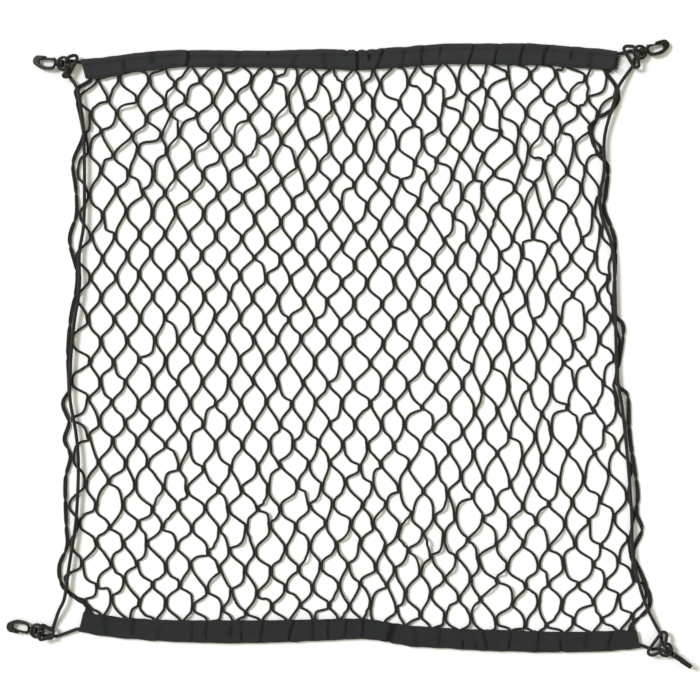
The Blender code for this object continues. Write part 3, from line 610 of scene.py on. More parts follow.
# %% Corners
# A corner's name, the middle of its ring, and where its hook aims, tilts and rolls, in degrees.
# Then its hitch: the side of the ring that the sleeve's cord comes to, the middles of the bight's
# two curls, where on the ring the cord's two ends wrap the bar, and the curls' radius.
Corner = namedtuple("Corner", "name x y z aim tilt roll cord_side near_u near_v far_u far_v near_wrap "
                              "far_wrap curl")
CORNERS = (
    Corner("top_left", -332.4, 338.7, 6.0, 173.3, 5.7, 180, -1, -11.9, 7.6, -3.9, -12.1, 140, 137, 3.6),
    Corner("top_right", 340.0, 352.0, 6.0, 17.0, 5.7, 0, 1, -13.6, 7.9, -8.4, -12.6, 140, 137, 3.7),
    Corner("bottom_left", -363.5, -323.0, 6.0, 171.0, 5.7, 0, 1, -17.2, 4.0, -16.8, -4.1, 137, 137, 2.2),
    Corner("bottom_right", 369.5, -344.5, 7.2, -34.0, -4.6, 90, -1, -12.0, 11.8, -11.2, -13.0, 137, 137, 3.6),
)


def corner_matrix(corner, roll=0.0):
    """From u, v, w at a hook's ring, in metres, to the world."""
    return (Matrix.Translation(Vector((corner.x, corner.y, corner.z)) * MM)
            @ Matrix.Rotation(math.radians(corner.aim), 4, "Z")
            @ Matrix.Rotation(math.radians(corner.tilt), 4, "Y")
            @ Matrix.Rotation(math.radians(roll), 4, "X"))


print("the hooks aim", [corner.aim for corner in CORNERS], "degrees round from the right")

# %% The hitch at a corner
SHOCK_CORD = 4.0
RING_RADIUS, RING_BAR = 7.4, 1.7
WRAP_TURN = 130                              # roughly where the cord wraps a ring, round from its boss
CLEAR_OF_BAR = 3.4                           # how far past the ring's bar the cord has turned
BAR_ROOM, BIGHT_ROOM = 0.57, 0.6             # between cord and bar, and between the cord's two layers
WRAP_BULGE, WRAP_HALF_HIGH = 0.9, 3.1        # the rounding of the wrap, and half its height beside the bar
CURL = ((35, 1.6), (80, 1.0), (125, 0.4), (170, 0.0))   # degrees round the bight, and its rise there


def hitch(corner, to_sleeve, to_side):
    """A loose lark's head, from the sleeve to the side: under the bight, round the ring, and back."""
    aim = math.radians(corner.aim)
    along = Vector((math.cos(aim), math.sin(aim)))
    across = Vector((-along.y, along.x)) * corner.cord_side
    middle = Vector((corner.x, corner.y))
    reach_up = RING_BAR + SHOCK_CORD / 2 + BAR_ROOM
    inside = RING_RADIUS - reach_up
    bar_z = corner.z - RING_RADIUS * math.cos(math.radians(WRAP_TURN)) * math.sin(math.radians(corner.tilt))
    low, high = max(bar_z - reach_up, SHOCK_CORD / 2), bar_z + reach_up + 0.1
    bight_z = low + SHOCK_CORD + BIGHT_ROOM

    def round_ring(radius, turn, z):
        """A point beside the ring, by its distance from the middle and its turn from the boss."""
        return (radius * math.cos(math.radians(turn)), radius * math.sin(math.radians(turn)), z)

    def half(curl_u, curl_v, wrap, target):
        """From beyond the bight, round the ring's bar, and round a curl to the bight's end."""
        target = Vector((along.dot(target - middle), abs(across.dot(target - middle))))
        start = Vector((curl_u, curl_v - 0.8 * corner.curl))
        way = target - start
        beyond = start + way * min((corner.curl + CLEAR_OF_BAR) / way.length, 0.5)
        curl = [(curl_u + corner.curl * math.cos(math.radians(turn)),
                 curl_v + corner.curl * math.sin(math.radians(turn)), bight_z + rise) for turn, rise in CURL]
        return [(*beyond, low + 0.2), (*start, low),
                round_ring(RING_RADIUS + CLEAR_OF_BAR, wrap + 10, low),
                round_ring(RING_RADIUS, wrap + 6, low - 0.1),
                round_ring(inside + WRAP_BULGE, wrap + 3, bar_z - WRAP_HALF_HIGH),
                round_ring(inside, wrap, bar_z),
                round_ring(inside + WRAP_BULGE, wrap - 3, bar_z + WRAP_HALF_HIGH),
                round_ring(RING_RADIUS, wrap - 7, high),
                round_ring(RING_RADIUS + CLEAR_OF_BAR, wrap - 13, high - 0.9), *curl]

    near = half(corner.near_u, corner.near_v, corner.near_wrap, to_sleeve)
    far = half(corner.far_u, -corner.far_v, corner.far_wrap, to_side)
    local = near + [(u, -v, z) for u, v, z in far[::-1]]
    return [Vector((*(middle + along * u + across * v), z)) for u, v, z in local]


print("the cord clears a ring's bar by", BAR_ROOM, "mm")

# %% The whole route
CORD_INSET, CHANNEL_CORD_Z = 3.5, 3.35       # from a sleeve's fold, and above the table
MOUTH_STRAIGHT = 1.5                         # how far the cord goes straight on out of a sleeve
SIDE_CORD_Z = 5.3                            # beside the net, and each place of its table adds to that
ROUTE_STEP, ROUTE_SMOOTHINGS = 1.4, 3


def channel_route(rows, inward):
    """Along a sleeve's channel, from left to right, and a little way out of both its mouths."""
    route = [Vector((row.x, row.fold_y + inward * CORD_INSET, CHANNEL_CORD_Z)) for row in rows]
    out = Vector((MOUTH_STRAIGHT, 0, 0))
    return [route[0] - out, *route, route[-1] + out]


def shock_cord_route():
    """The whole loop: top sleeve, right side, bottom sleeve, left side, and four hitches."""
    top, bottom = channel_route(TOP_SLEEVE, -1), channel_route(BOTTOM_SLEEVE, 1)
    left, right = ([Vector((row.x, row.y, SIDE_CORD_Z + row.clear)) for row in rows]
                   for rows in (LEFT_CORD, RIGHT_CORD))
    ends = ((top[0], left[0]), (top[-1], right[0]), (bottom[0], left[-1]), (bottom[-1], right[-1]))
    top_left, top_right, bottom_left, bottom_right = (
        hitch(corner, mouth.xy, side_end.xy) for corner, (mouth, side_end) in zip(CORNERS, ends))
    line = curve_through([*top, *top_right, *right, *bottom_right[::-1], *bottom[::-1], *bottom_left,
                          *left[::-1], *top_left[::-1], top[0]], ROUTE_STEP)[:-1]
    for _ in range(ROUTE_SMOOTHINGS):
        line = [(before + 2 * here + after) / 4
                for before, here, after in zip(line[-1:] + line[:-1], line, line[1:] + line[:1])]
    return line


shock_line = shock_cord_route()
print("the shock cord's loop is", round(length_of(shock_line) * MM, 2), "m long")

# %% [markdown]
# ## Shader groups that the finishes share
#
# Three effects turn up in more than one finish, so each is a node group, built once.  "braid" is
# the criss-cross of yarns on a cord, "weave" the over and under of cloth, and "drift" a slow
# change of tone, because no dyed thing is one colour all over.  Images could give the same, but
# they would need unwrapping, and these patterns stay sharp at any distance.

# %% Braid, weave and drift
def make_braid():
    """Two sets of yarns, wound opposite ways round the cord."""
    tree, given, result = node_group("Shader", "braid", (
        ("Lay", "Vector", (0, 0, 0)), ("Yarns", "Float", 8.0), ("Pitch", "Float", 0.006)), "Height", "Float")
    x, y, length = axes(tree, given["Lay"])
    round_it = maths(tree, "MULTIPLY", maths(tree, "ARCTAN2", y, x), given["Yarns"])
    along = maths(tree, "MULTIPLY", maths(tree, "DIVIDE", length, given["Pitch"]), 2 * math.pi)
    along = maths(tree, "MULTIPLY", along, given["Yarns"])
    one_way = maths(tree, "SINE", maths(tree, "ADD", round_it, along))
    other_way = maths(tree, "SINE", maths(tree, "SUBTRACT", round_it, along))
    height = maths(tree, "MULTIPLY_ADD", maths(tree, "MULTIPLY", one_way, other_way), 0.5, 0.5)
    tree.links.new(height, result["Height"])
    return tree


def make_weave():
    """Threads both ways, each over one and under the next."""
    tree, given, result = node_group("Shader", "weave", (
        ("Cloth", "Vector", (0, 0, 0)), ("Pitch", "Float", 0.0008)), "Height", "Float")
    x, y, _ = axes(tree, given["Cloth"])
    turn = maths(tree, "DIVIDE", math.pi, given["Pitch"])
    warp, weft = (maths(tree, "SINE", maths(tree, "MULTIPLY", axis, turn)) for axis in (x, y))
    over = maths(tree, "MULTIPLY_ADD", maths(tree, "MULTIPLY", warp, weft), 0.5, 0.5)
    warp, weft = maths(tree, "ABSOLUTE", warp), maths(tree, "ABSOLUTE", weft)
    under = maths(tree, "MULTIPLY", weft, maths(tree, "SUBTRACT", 1.0, over))
    tree.links.new(maths(tree, "ADD", maths(tree, "MULTIPLY", warp, over), under), result["Height"])
    return tree


def make_drift():
    """A slow change of tone about one."""
    tree, given, result = node_group("Shader", "drift", (
        ("Place", "Vector", (0, 0, 0)), ("Scale", "Float", 20.0), ("Amount", "Float", 0.2)), "Tone", "Float")
    blotches = add_node(tree, "ShaderNodeTexNoise",
                        {"Vector": given["Place"], "Scale": given["Scale"], "Detail": 3.0})
    swing = maths(tree, "MULTIPLY", maths(tree, "SUBTRACT", blotches.outputs["Fac"], 0.5), given["Amount"])
    tree.links.new(maths(tree, "MULTIPLY_ADD", swing, 2.0, 1.0), result["Tone"])
    return tree


BRAID, WEAVE, DRIFT = make_braid(), make_weave(), make_drift()
print("shader groups:", BRAID.name, WEAVE.name, DRIFT.name)

# %% [markdown]
# ## The finishes
#
# The netting and the shock cord are dull black polyester with a trace of warmth.  The tape is a
# charcoal cloth, a little bluer and paler, and the lower sleeve's is darker.  The hooks are
# moulded black plastic with an olive cast, glossy enough to show small highlights.
# Cloth of any kind also has a little sheen: stray fibres that catch the light at a glancing
# angle.

# %% What a finish is put together from
def placed(tree, group, **values):
    """A shared group in a material, its inputs given as sockets or numbers."""
    return add_node(tree, "ShaderNodeGroup", values, node_tree=group).outputs[0]


def tinted(tree, tone, dark, light):
    """A colour between two, by a tone from 0 to 1."""
    return add_node(tree, "ShaderNodeMix", {0: tone, 6: (*dark, 1), 7: (*light, 1)},
                    data_type="RGBA", clamp_factor=True).outputs[2]


def darkened(tree, colour, share):
    """A colour times a tone."""
    return add_node(tree, "ShaderNodeVectorMath", {0: colour, "Scale": share},
                    operation="SCALE").outputs["Vector"]


def attribute(tree, name):
    return add_node(tree, "ShaderNodeAttribute", attribute_name=name)


def object_place(tree):
    return tree.nodes.new("ShaderNodeTexCoord").outputs["Object"]


def finish_with(name, roughness, specular, sheen=0.0):
    """A material with its constants on the shader itself."""
    material = bpy.data.materials.new(name)
    material.use_nodes = True
    shader = material.node_tree.nodes["Principled BSDF"]
    for label, value in (("Roughness", roughness), ("Specular IOR Level", specular),
                         ("Sheen Weight", sheen), ("Sheen Roughness", 0.5)):
        shader.inputs[label].default_value = value
    return material, material.node_tree, shader


def finished(tree, shader, colour, roughness, height, depth, strength=1.0):
    """Link a colour, a roughness and a relief, its depth in metres, to the shader."""
    relief = add_node(tree, "ShaderNodeBump", {"Height": height, "Distance": depth, "Strength": strength})
    for label, value in (("Base Color", colour), ("Roughness", roughness), ("Normal", relief.outputs["Normal"])):
        tree.links.new(value, shader.inputs[label])


print("a finish is a colour, a roughness and a relief")

# %% Finishes
TAPE_COOL, TAPE_WARM = (0.0198, 0.0226, 0.0242), (0.0236, 0.0226, 0.0238)
HOOK_DARK, HOOK_OLIVE = (0.0038, 0.0038, 0.0024), (0.0088, 0.0086, 0.0042)


def cord_finish(name, dark, light, yarns, pitch, relief):
    """Painted shade between the yarns and a painted highlight on their crests."""
    material, tree, shader = finish_with(name, 0.75, 0.25, 0.12)
    lay = attribute(tree, "lay").outputs["Vector"]
    yarn = placed(tree, BRAID, Lay=lay, Yarns=yarns, Pitch=pitch)
    tone = placed(tree, DRIFT, Place=object_place(tree), Scale=14.0, Amount=0.35)
    # The braid's height mixes painted shade between the yarns with a painted highlight on their crests.
    colour = darkened(tree, tinted(tree, yarn, dark, light), tone)
    finished(tree, shader, colour, maths(tree, "MULTIPLY_ADD", yarn, -0.15, 0.85), yarn, relief)
    return material


def tape_finish(name, shade):
    """Woven, drifting from cooler to warmer, with painted shade in the creases."""
    material, tree, shader = finish_with(name, 0.82, 0.22, 0.08)
    thread = placed(tree, WEAVE, Cloth=attribute(tree, "cloth").outputs["Vector"], Pitch=0.0007)
    place = object_place(tree)
    hue = maths(tree, "SUBTRACT", placed(tree, DRIFT, Place=place, Scale=16.0, Amount=1.4), 0.5)
    colour = tinted(tree, hue, *([shade * part for part in tint] for tint in (TAPE_COOL, TAPE_WARM)))
    for tone in (placed(tree, DRIFT, Place=place, Scale=45.0, Amount=0.22),
                 # Painted highlight and painted shade on the weave: paler where the threads rise and darker where
                 # they dip.
                 maths(tree, "MULTIPLY_ADD", thread, 0.35, 0.80),
                 # Painted shade in the creases, read from the fold attribute.
                 maths(tree, "SUBTRACT", 1.0, attribute(tree, "fold").outputs["Fac"])):
        colour = darkened(tree, colour, tone)
    finished(tree, shader, colour, maths(tree, "MULTIPLY_ADD", thread, -0.12, 0.9), thread, 0.00012, 0.8)
    return material


def plastic_finish():
    """Blotched from black to olive, with a fine moulded grain."""
    material, tree, shader = finish_with("hook_black", 0.4, 0.28)
    place = object_place(tree)
    olive = placed(tree, DRIFT, Place=place, Scale=60.0, Amount=0.9)
    tone = placed(tree, DRIFT, Place=place, Scale=160.0, Amount=0.5)
    colour = darkened(tree, tinted(tree, olive, HOOK_DARK, HOOK_OLIVE), tone)
    grain = add_node(tree, "ShaderNodeTexNoise", {"Vector": place, "Scale": 2600.0, "Detail": 2.0}).outputs["Fac"]
    finished(tree, shader, colour, maths(tree, "MULTIPLY_ADD", grain, 0.25, 0.34), grain, 0.00008, 0.5)
    return material


# In each cord finish the first colour is the painted shade between the yarns, and the second is the painted
# highlight on their crests.
NETTING_FINISH = cord_finish("netting_black", (0.0082, 0.0073, 0.0060), (0.0180, 0.0163, 0.0135),
                             5, 0.011, 0.00018)
SHOCK_FINISH = cord_finish("shock_cord_black", (0.0090, 0.0082, 0.0074), (0.0200, 0.0184, 0.0166),
                           8, 0.018, 0.00022)
TAPE_FINISHES = {"top": tape_finish("tape_charcoal", 1.0),
                 "bottom": tape_finish("tape_charcoal_darker", 0.70)}
HOOK_FINISH = plastic_finish()
print("finishes:", *(finish.name for finish in (NETTING_FINISH, SHOCK_FINISH, *TAPE_FINISHES.values(),
                                                HOOK_FINISH)))

# %% [markdown]
# ## Growing the cords
#
# Now the lines become cords.  The netting's cords are flattened and turn slowly, the shock cord
# is round.  A curve's own bevel could make either, but then the braid would not know where on the
# cord it is.  The sides are as few as the view allows: six on netting cord, which is thin and
# there are 35 metres of it, and fourteen on the shock cord.

# %% Netting, selvedges and shock cord
def cord_piece(name, mesh, width, thickness, sides, twist, lies_flat, finish):
    """Cord along a mesh's lines, its width and thickness in millimetres."""
    return grown(name, mesh, CORD_TREE, {
        "Width": width * MM, "Thickness": thickness * MM, "Sides": sides, "Twist": twist,
        "Lies Flat": lies_flat, "Finish": finish})


netting = cord_piece("netting", lines_mesh("netting_lines", cord_lines), CORD_WIDTH, CORD_THICKNESS,
                     6, 3.0, True, NETTING_FINISH)
selvedges = cord_piece("selvedges", lines_mesh("selvedge_lines", selvedge_lines), SELVEDGE_CORD,
                       SELVEDGE_CORD * SELVEDGE_FLATNESS, 8, 4.0, True, NETTING_FINISH)
shock_cord = cord_piece("shock_cord", lines_mesh("shock_cord_line", [shock_line], closed=True), SHOCK_CORD,
                        SHOCK_CORD, 14, 0.0, False, SHOCK_FINISH)
for piece in (netting, selvedges, shock_cord):
    print(piece.name, triangles(piece), "triangles")

# %% [markdown]
# ## The tape sleeves
#
# Each sleeve is one strip of tape folded lengthways over the shock cord, with the netting's end
# row between its layers.  The elastic gathers it, so it is crossed by creases, and between two
# creases it puffs up.  A sheet of quads is laid over the folded section, station by station, and
# each crease pushes it in.  The section is the middle of the cloth, and it gets its thickness
# from offsets to both sides.  A cloth simulation would crease the tape too, but not where this one
# has its creases, so these come from a table, and noise bends them and makes them patchy.

# %% Creases
# Where a crease leaves the fold and where it reaches the open edge, its depth and width, the
# shares of the tape's width between which it shows, and how far it notches the fold.
Crease = namedtuple("Crease", "fold_x inner_x depth width start stop notch")
TOP_CREASES = tuple(Crease(*row) for row in (
    (-187.0, -189.5, 0.95, 1.5, -0.1, 1.1, 0.5), (-262, -260, 0.35, 2.5, 0.3, 1.1, 0.0),
    (-228, -231, 0.35, 2.6, 0.0, 0.7, 0.2), (-150, -147, 0.30, 2.4, 0.3, 1.1, 0.0),
    (-126, -131, 0.35, 2.2, 0.0, 0.8, 0.3), (-93.5, -92.0, 0.70, 1.5, 0.1, 0.32, 0.0),
    (-62, -66, 0.35, 2.4, 0.3, 1.1, 0.2), (-30, -27, 0.35, 2.2, 0.2, 1.1, 0.0),
    (-2.3, -1.5, 0.45, 1.8, -0.1, 0.35, 1.5), (9.8, 10.6, 1.0, 1.5, -0.1, 1.1, 2.2),
    (20.7, 21.0, 0.45, 1.6, -0.1, 0.25, 1.3), (23.4, 23.2, 0.95, 1.6, 0.28, 0.58, 0.0),
    (32.2, 33.0, 0.35, 1.9, -0.1, 0.25, 0.8), (42.0, 33.6, 0.85, 1.4, 0.10, 1.1, 0.6),
    (66, 62, 0.30, 2.2, 0.2, 1.0, 0.2), (88.5, 86.5, 0.60, 1.2, 0.1, 1.1, 0.3),
    (109.0, 105.5, 0.45, 1.3, 0.1, 0.8, 0.2), (146.5, 140.0, 0.75, 1.3, 0.05, 1.1, 0.4),
    (176.5, 170.5, 0.75, 1.3, 0.05, 1.1, 0.4), (206.5, 200.5, 0.80, 1.3, 0.05, 1.1, 0.4),
    (234.5, 227.5, 0.90, 1.5, 0.05, 1.1, 0.4), (260.5, 257.0, 0.70, 1.3, 0.10, 0.65, 0.3),
    (285, 282, 0.30, 2.4, 0.2, 1.0, 0.0)))
BOTTOM_CREASES = tuple(Crease(*row) for row in (
    (-282, -285, 0.30, 2.4, 0.1, 1.0, 0.0), (-253, -250, 0.35, 2.4, 0.2, 1.1, 0.2),
    (-222, -218, 0.30, 2.3, 0.1, 0.8, 0.2), (-182.4, -182.4, 0.50, 1.2, 0.1, 1.1, 0.3),
    (-163.5, -163.5, 0.45, 1.3, 0.1, 1.1, 0.2), (-135.0, -134.5, 0.45, 2.2, 0.3, 0.8, 0.0),
    (-125.0, -124.8, 0.55, 1.3, 0.1, 1.1, 0.3), (-102.8, -99.0, 0.60, 1.4, 0.0, 1.1, 0.3),
    (-69.2, -62.6, 0.80, 1.5, 0.0, 1.1, 0.4), (-41.5, -41.5, 0.55, 1.3, 0.1, 1.0, 0.3),
    (-22.8, -22.0, 0.60, 1.4, 0.1, 1.1, 0.3), (-4.0, -1.0, 0.45, 1.4, 0.1, 1.1, 0.3),
    (15.5, 17.5, 0.50, 1.6, 0.1, 1.1, 0.2), (45.5, 53.0, 1.05, 2.9, -0.1, 1.1, 0.9),
    (80.0, 76.0, 0.30, 2.4, 0.1, 0.9, 0.0), (105.0, 107.5, 0.50, 1.2, 0.15, 1.1, 0.3),
    (133.6, 133.8, 0.75, 1.3, 0.08, 0.50, 0.3), (148.0, 147.0, 0.60, 1.8, 0.14, 0.30, 0.0),
    (162.5, 157.4, 0.65, 1.3, 0.1, 1.1, 0.3), (186.6, 191.5, 0.65, 1.3, 0.1, 1.1, 0.3),
    (220.5, 222.8, 0.60, 1.3, 0.1, 1.1, 0.3), (249.0, 248.5, 0.65, 1.4, -0.1, 0.7, 1.0),
    (276, 279, 0.30, 2.2, 0.2, 1.0, 0.0), (303.0, 309.5, 0.50, 1.8, 0.0, 1.1, 0.2)))
print("the sleeves have", len(TOP_CREASES) + len(BOTTOM_CREASES), "creases")

# %% How deep a crease is
CREASE_DEPTH, CREASE_SPREAD = 1.25, 1.3      # what the table's depths and widths are multiplied by
CREASE_BOW, CREASE_BOW_LENGTH = 4.0, 5       # how far creases bow aside, each its own way
CREASE_REACH = 6                             # in widths, beyond which a crease does nothing
CREASE_EASE = 0.10                           # the way over which it starts and stops, as a share of the width
PATCHY_DEPTH, PATCHY_WIDTH, MOST_PATCHY = 0.8, 0.5, 1.15
SHOULDER, SHOULDER_AT, SHOULDER_WIDTH = 0.40, 2.2, 1.2      # the cloth heaped up on both sides of it


def window(share, start, stop):
    """One between start and stop, easing to nothing over a little way outside."""
    return (eased(progress(share, start - CREASE_EASE, start + CREASE_EASE))
            * (1 - eased(progress(share, stop - CREASE_EASE, stop + CREASE_EASE))))


def crease_at(creases, x, share):
    """How deep the creases press here, and how far their shoulders rise."""
    pressed = raised = 0.0
    for crease in creases:
        bow = CREASE_BOW * noise.noise(Vector((crease.fold_x / CREASE_BOW_LENGTH, 0.5, 4.0)))
        middle = crease.fold_x + (crease.inner_x - crease.fold_x) * share + bow * math.sin(math.pi * share)
        aside = abs(x - middle)
        if aside < CREASE_REACH * crease.width:
            patchy = noise.noise(Vector((crease.fold_x / 3, 2.4 * share, 9.0)))
            inside = window(share, crease.start, crease.stop) * min(0.9 + PATCHY_DEPTH * patchy, MOST_PATCHY)
            width = CREASE_SPREAD * crease.width * (1 - PATCHY_WIDTH * patchy)
            pressed = max(pressed, CREASE_DEPTH * crease.depth * inside * bump(aside, width))
            raised = max(raised, SHOULDER * crease.depth * inside
                         * bump(aside - SHOULDER_AT * width, SHOULDER_WIDTH * width))
    return pressed, raised


print("the deepest crease presses", round(CREASE_DEPTH * max(c.depth for c in TOP_CREASES), 2), "mm in")

# %% The folded section
TAPE = 1.0                                   # its thickness, puffed up
SLEEVE_TOP, SLOT_LAYER = 6.15, 4.70          # the middle of the upper layer, over the cord and over the net
LOWER_LAYER, LOWER_STEPS, UPPER_STEPS = 0.5, 7, 19
TURN_DEPTH, TURN_WIDE = 2.6, 2.1             # the turn round the cord: where it ends, and its half width
TURN_Z, TURN_HIGH = 3.32, 2.82               # its middle's height, and half its own
STEP_FROM, STEP_TO = 5.2, 8.6                # where the upper layer comes down beside the cord
EDGE_DROP, EDGE_DROP_WIDE = 0.55, 4.5        # and how its open edge droops
PUFF, PUFF_CHANGE, PUFF_LENGTH = 0.30, 0.75, 17
FOLD_WAVE, FOLD_WAVE_LENGTH = 0.6, 14        # how the fold wavers along the sleeve
OPEN_WAVE, OPEN_WAVE_LENGTH = 0.5, 9         # and the open edge
NOTCH_WIDTH, NOTCH_DEEP, NOTCH_FAR = 1.25, 7, 8     # a notch that a crease leaves in the fold
END_SLANT_WIDE = 30                          # how far from its ends the sleeve is cut aslant


def cloth_middle(width):
    """The folded cloth cut across: depth from the fold, height, and how far it may be creased."""
    lower = [(width - (width - TURN_DEPTH) * k / LOWER_STEPS, LOWER_LAYER, 0.0) for k in range(LOWER_STEPS + 1)]
    turn = [(TURN_DEPTH - TURN_WIDE * math.sin(math.radians(a)), TURN_Z - TURN_HIGH * math.cos(math.radians(a)),
             progress(a, 70, 150)) for a in range(18, 181, 18)]
    upper = []
    for k in range(1, UPPER_STEPS + 1):
        depth = TURN_DEPTH + (width - TURN_DEPTH) * k / UPPER_STEPS
        height = SLEEVE_TOP + (SLOT_LAYER - SLEEVE_TOP) * eased(progress(depth, STEP_FROM, STEP_TO))
        height -= EDGE_DROP * progress(depth, width - EDGE_DROP_WIDE, width) ** 2
        upper.append((depth, height, 1.0))
    return lower + turn + upper


def creased_section(rows, creases, end_slant, seed, x):
    """The middle of the cloth across one place of a sleeve, and how deep each point is pressed."""
    fold_y, inner_y = lookup(rows, "x", "fold_y", x), lookup(rows, "x", "inner_y", x)
    side = 1 if inner_y > fold_y else -1
    width = abs(inner_y - fold_y)
    notch = sum(crease.notch * bump(x - crease.fold_x, NOTCH_WIDTH * crease.width)
                for crease in creases if abs(x - crease.fold_x) < NOTCH_FAR)
    fold_wave = FOLD_WAVE * noise.noise(Vector((x / FOLD_WAVE_LENGTH, seed, 0)))
    open_wave = OPEN_WAVE * noise.noise(Vector((x / OPEN_WAVE_LENGTH, seed, 5)))
    left = 1 - progress(x, rows[0].x, rows[0].x + END_SLANT_WIDE)
    right = progress(x, rows[-1].x - END_SLANT_WIDE, rows[-1].x)
    middle = []
    for depth, height, soft in cloth_middle(width):
        share = depth / width
        pressed, raised = crease_at(creases, x, share)
        puff = PUFF + PUFF_CHANGE * noise.noise(Vector((x / PUFF_LENGTH, share * 1.6, seed)))
        height += soft * (puff * math.sin(math.pi * min(max(share, 0), 1)) + raised - pressed)
        slant = (left * end_slant[0] + right * end_slant[1]) * share
        at_fold = max(1 - depth / NOTCH_DEEP, 0)
        y = fold_y + side * (depth + (notch + fold_wave) * at_fold + open_wave * share ** 4)
        middle.append((Vector((x + slant, y, height)), soft * pressed))
    return middle, side


print("a section of the sleeve has", len(cloth_middle(24)), "points along the cloth")

# %% Sleeve pieces
# Painted shade: a pressed place of the tape is darkened by this share of its depth, and no further than the most.
FOLD_SHADE, MOST_SHADE = 1.15, 0.85          # how a pressed place darkens
STATION_STEP, CREASE_STEP = 2.0, 0.75


def stations(rows, creases):
    """Where the sections stand: about every 2 mm, and closer together over a crease."""
    places = set()
    x = rows[0].x
    while x < rows[-1].x:
        places.add(round(x, 2))
        near = min(min(abs(x - c.fold_x), abs(x - c.inner_x)) - 2.5 * c.width for c in creases)
        x += CREASE_STEP if near < STATION_STEP else STATION_STEP
    return sorted(places | {rows[-1].x})


def mesh_object(name, bm):
    """An object made of a bmesh that is done with."""
    mesh = bpy.data.meshes.new(name)
    bm.to_mesh(mesh)
    bm.free()
    return add_object(name, mesh)


def bridged(bm, loop, following):
    """Quads between two closed loops of as many vertices."""
    for k in range(len(loop)):
        n = (k + 1) % len(loop)
        bm.faces.new((loop[k], loop[n], following[n], following[k]))


def sleeve_piece(name, rows, creases, end_slant, seed, finish):
    """The folded tape as one closed mesh, with its own coordinates for the weave."""
    bm = bmesh.new()
    cloth = bm.verts.layers.float_vector.new("cloth")
    # The fold attribute holds the painted shade of the creases, which the tape's finish darkens by.
    shade = bm.verts.layers.float.new("fold")
    rings = []
    for x in stations(rows, creases):
        middle, side = creased_section(rows, creases, end_slant, seed, x)
        outside, inside, run = [], [], 0.0
        for k, (place, pressed) in enumerate(middle):
            before, after = middle[max(k - 1, 0)][0], middle[min(k + 1, len(middle) - 1)][0]
            along = (after - before).normalized()
            out = Vector((0, along.z * side, -along.y * side))
            if k:
                run += (place - middle[k - 1][0]).length
            for ring, offset in ((outside, TAPE / 2), (inside, -TAPE / 2)):
                vert = bm.verts.new(place + out * offset)
                vert[cloth] = Vector((x, run, 0)) * MM
                vert[shade] = min(FOLD_SHADE * pressed, MOST_SHADE)
                ring.append(vert)
        rings.append(outside + inside[::-1])
    for ring, following in zip(rings, rings[1:]):
        bridged(bm, ring, following)
    count = len(rings[0])
    for ring in (rings[0], rings[-1]):
        for k in range(count // 2 - 1):
            bm.faces.new((ring[k], ring[k + 1], ring[count - 2 - k], ring[count - 1 - k]))
    bmesh.ops.recalc_face_normals(bm, faces=bm.faces)
    bmesh.ops.scale(bm, vec=(MM, MM, MM), verts=bm.verts)
    piece = mesh_object(name, bm)
    piece.data.shade_smooth()
    piece.data.set_sharp_from_angle(angle=math.radians(60))
    piece.data.materials.append(finish)
    return piece


top_sleeve = sleeve_piece("top_sleeve", TOP_SLEEVE, TOP_CREASES, (5.5, -5.5), 2.3, TAPE_FINISHES["top"])
bottom_sleeve = sleeve_piece("bottom_sleeve", BOTTOM_SLEEVE, BOTTOM_CREASES, (5.5, -4.5), 7.1,
                             TAPE_FINISHES["bottom"])
for piece in (top_sleeve, bottom_sleeve):
    low = min(vertex.co.z for vertex in piece.data.vertices)
    print(piece.name, triangles(piece), "triangles, lowest", round(low / MM, 2), "mm")

# %% [markdown]
# ## Stitches and frayed ends
#
# A row of lock stitches near the open edge closes each sleeve.  The thread is the tape's own
# colour.  Where tape is cut it frays, and here that shows at the top sleeve's right end, where a
# few short fibres stand out from the cut.  Both repeat along a line, so one tree does both: it
# spreads little bent fibres or stitches along given edges, with a random length and turn.

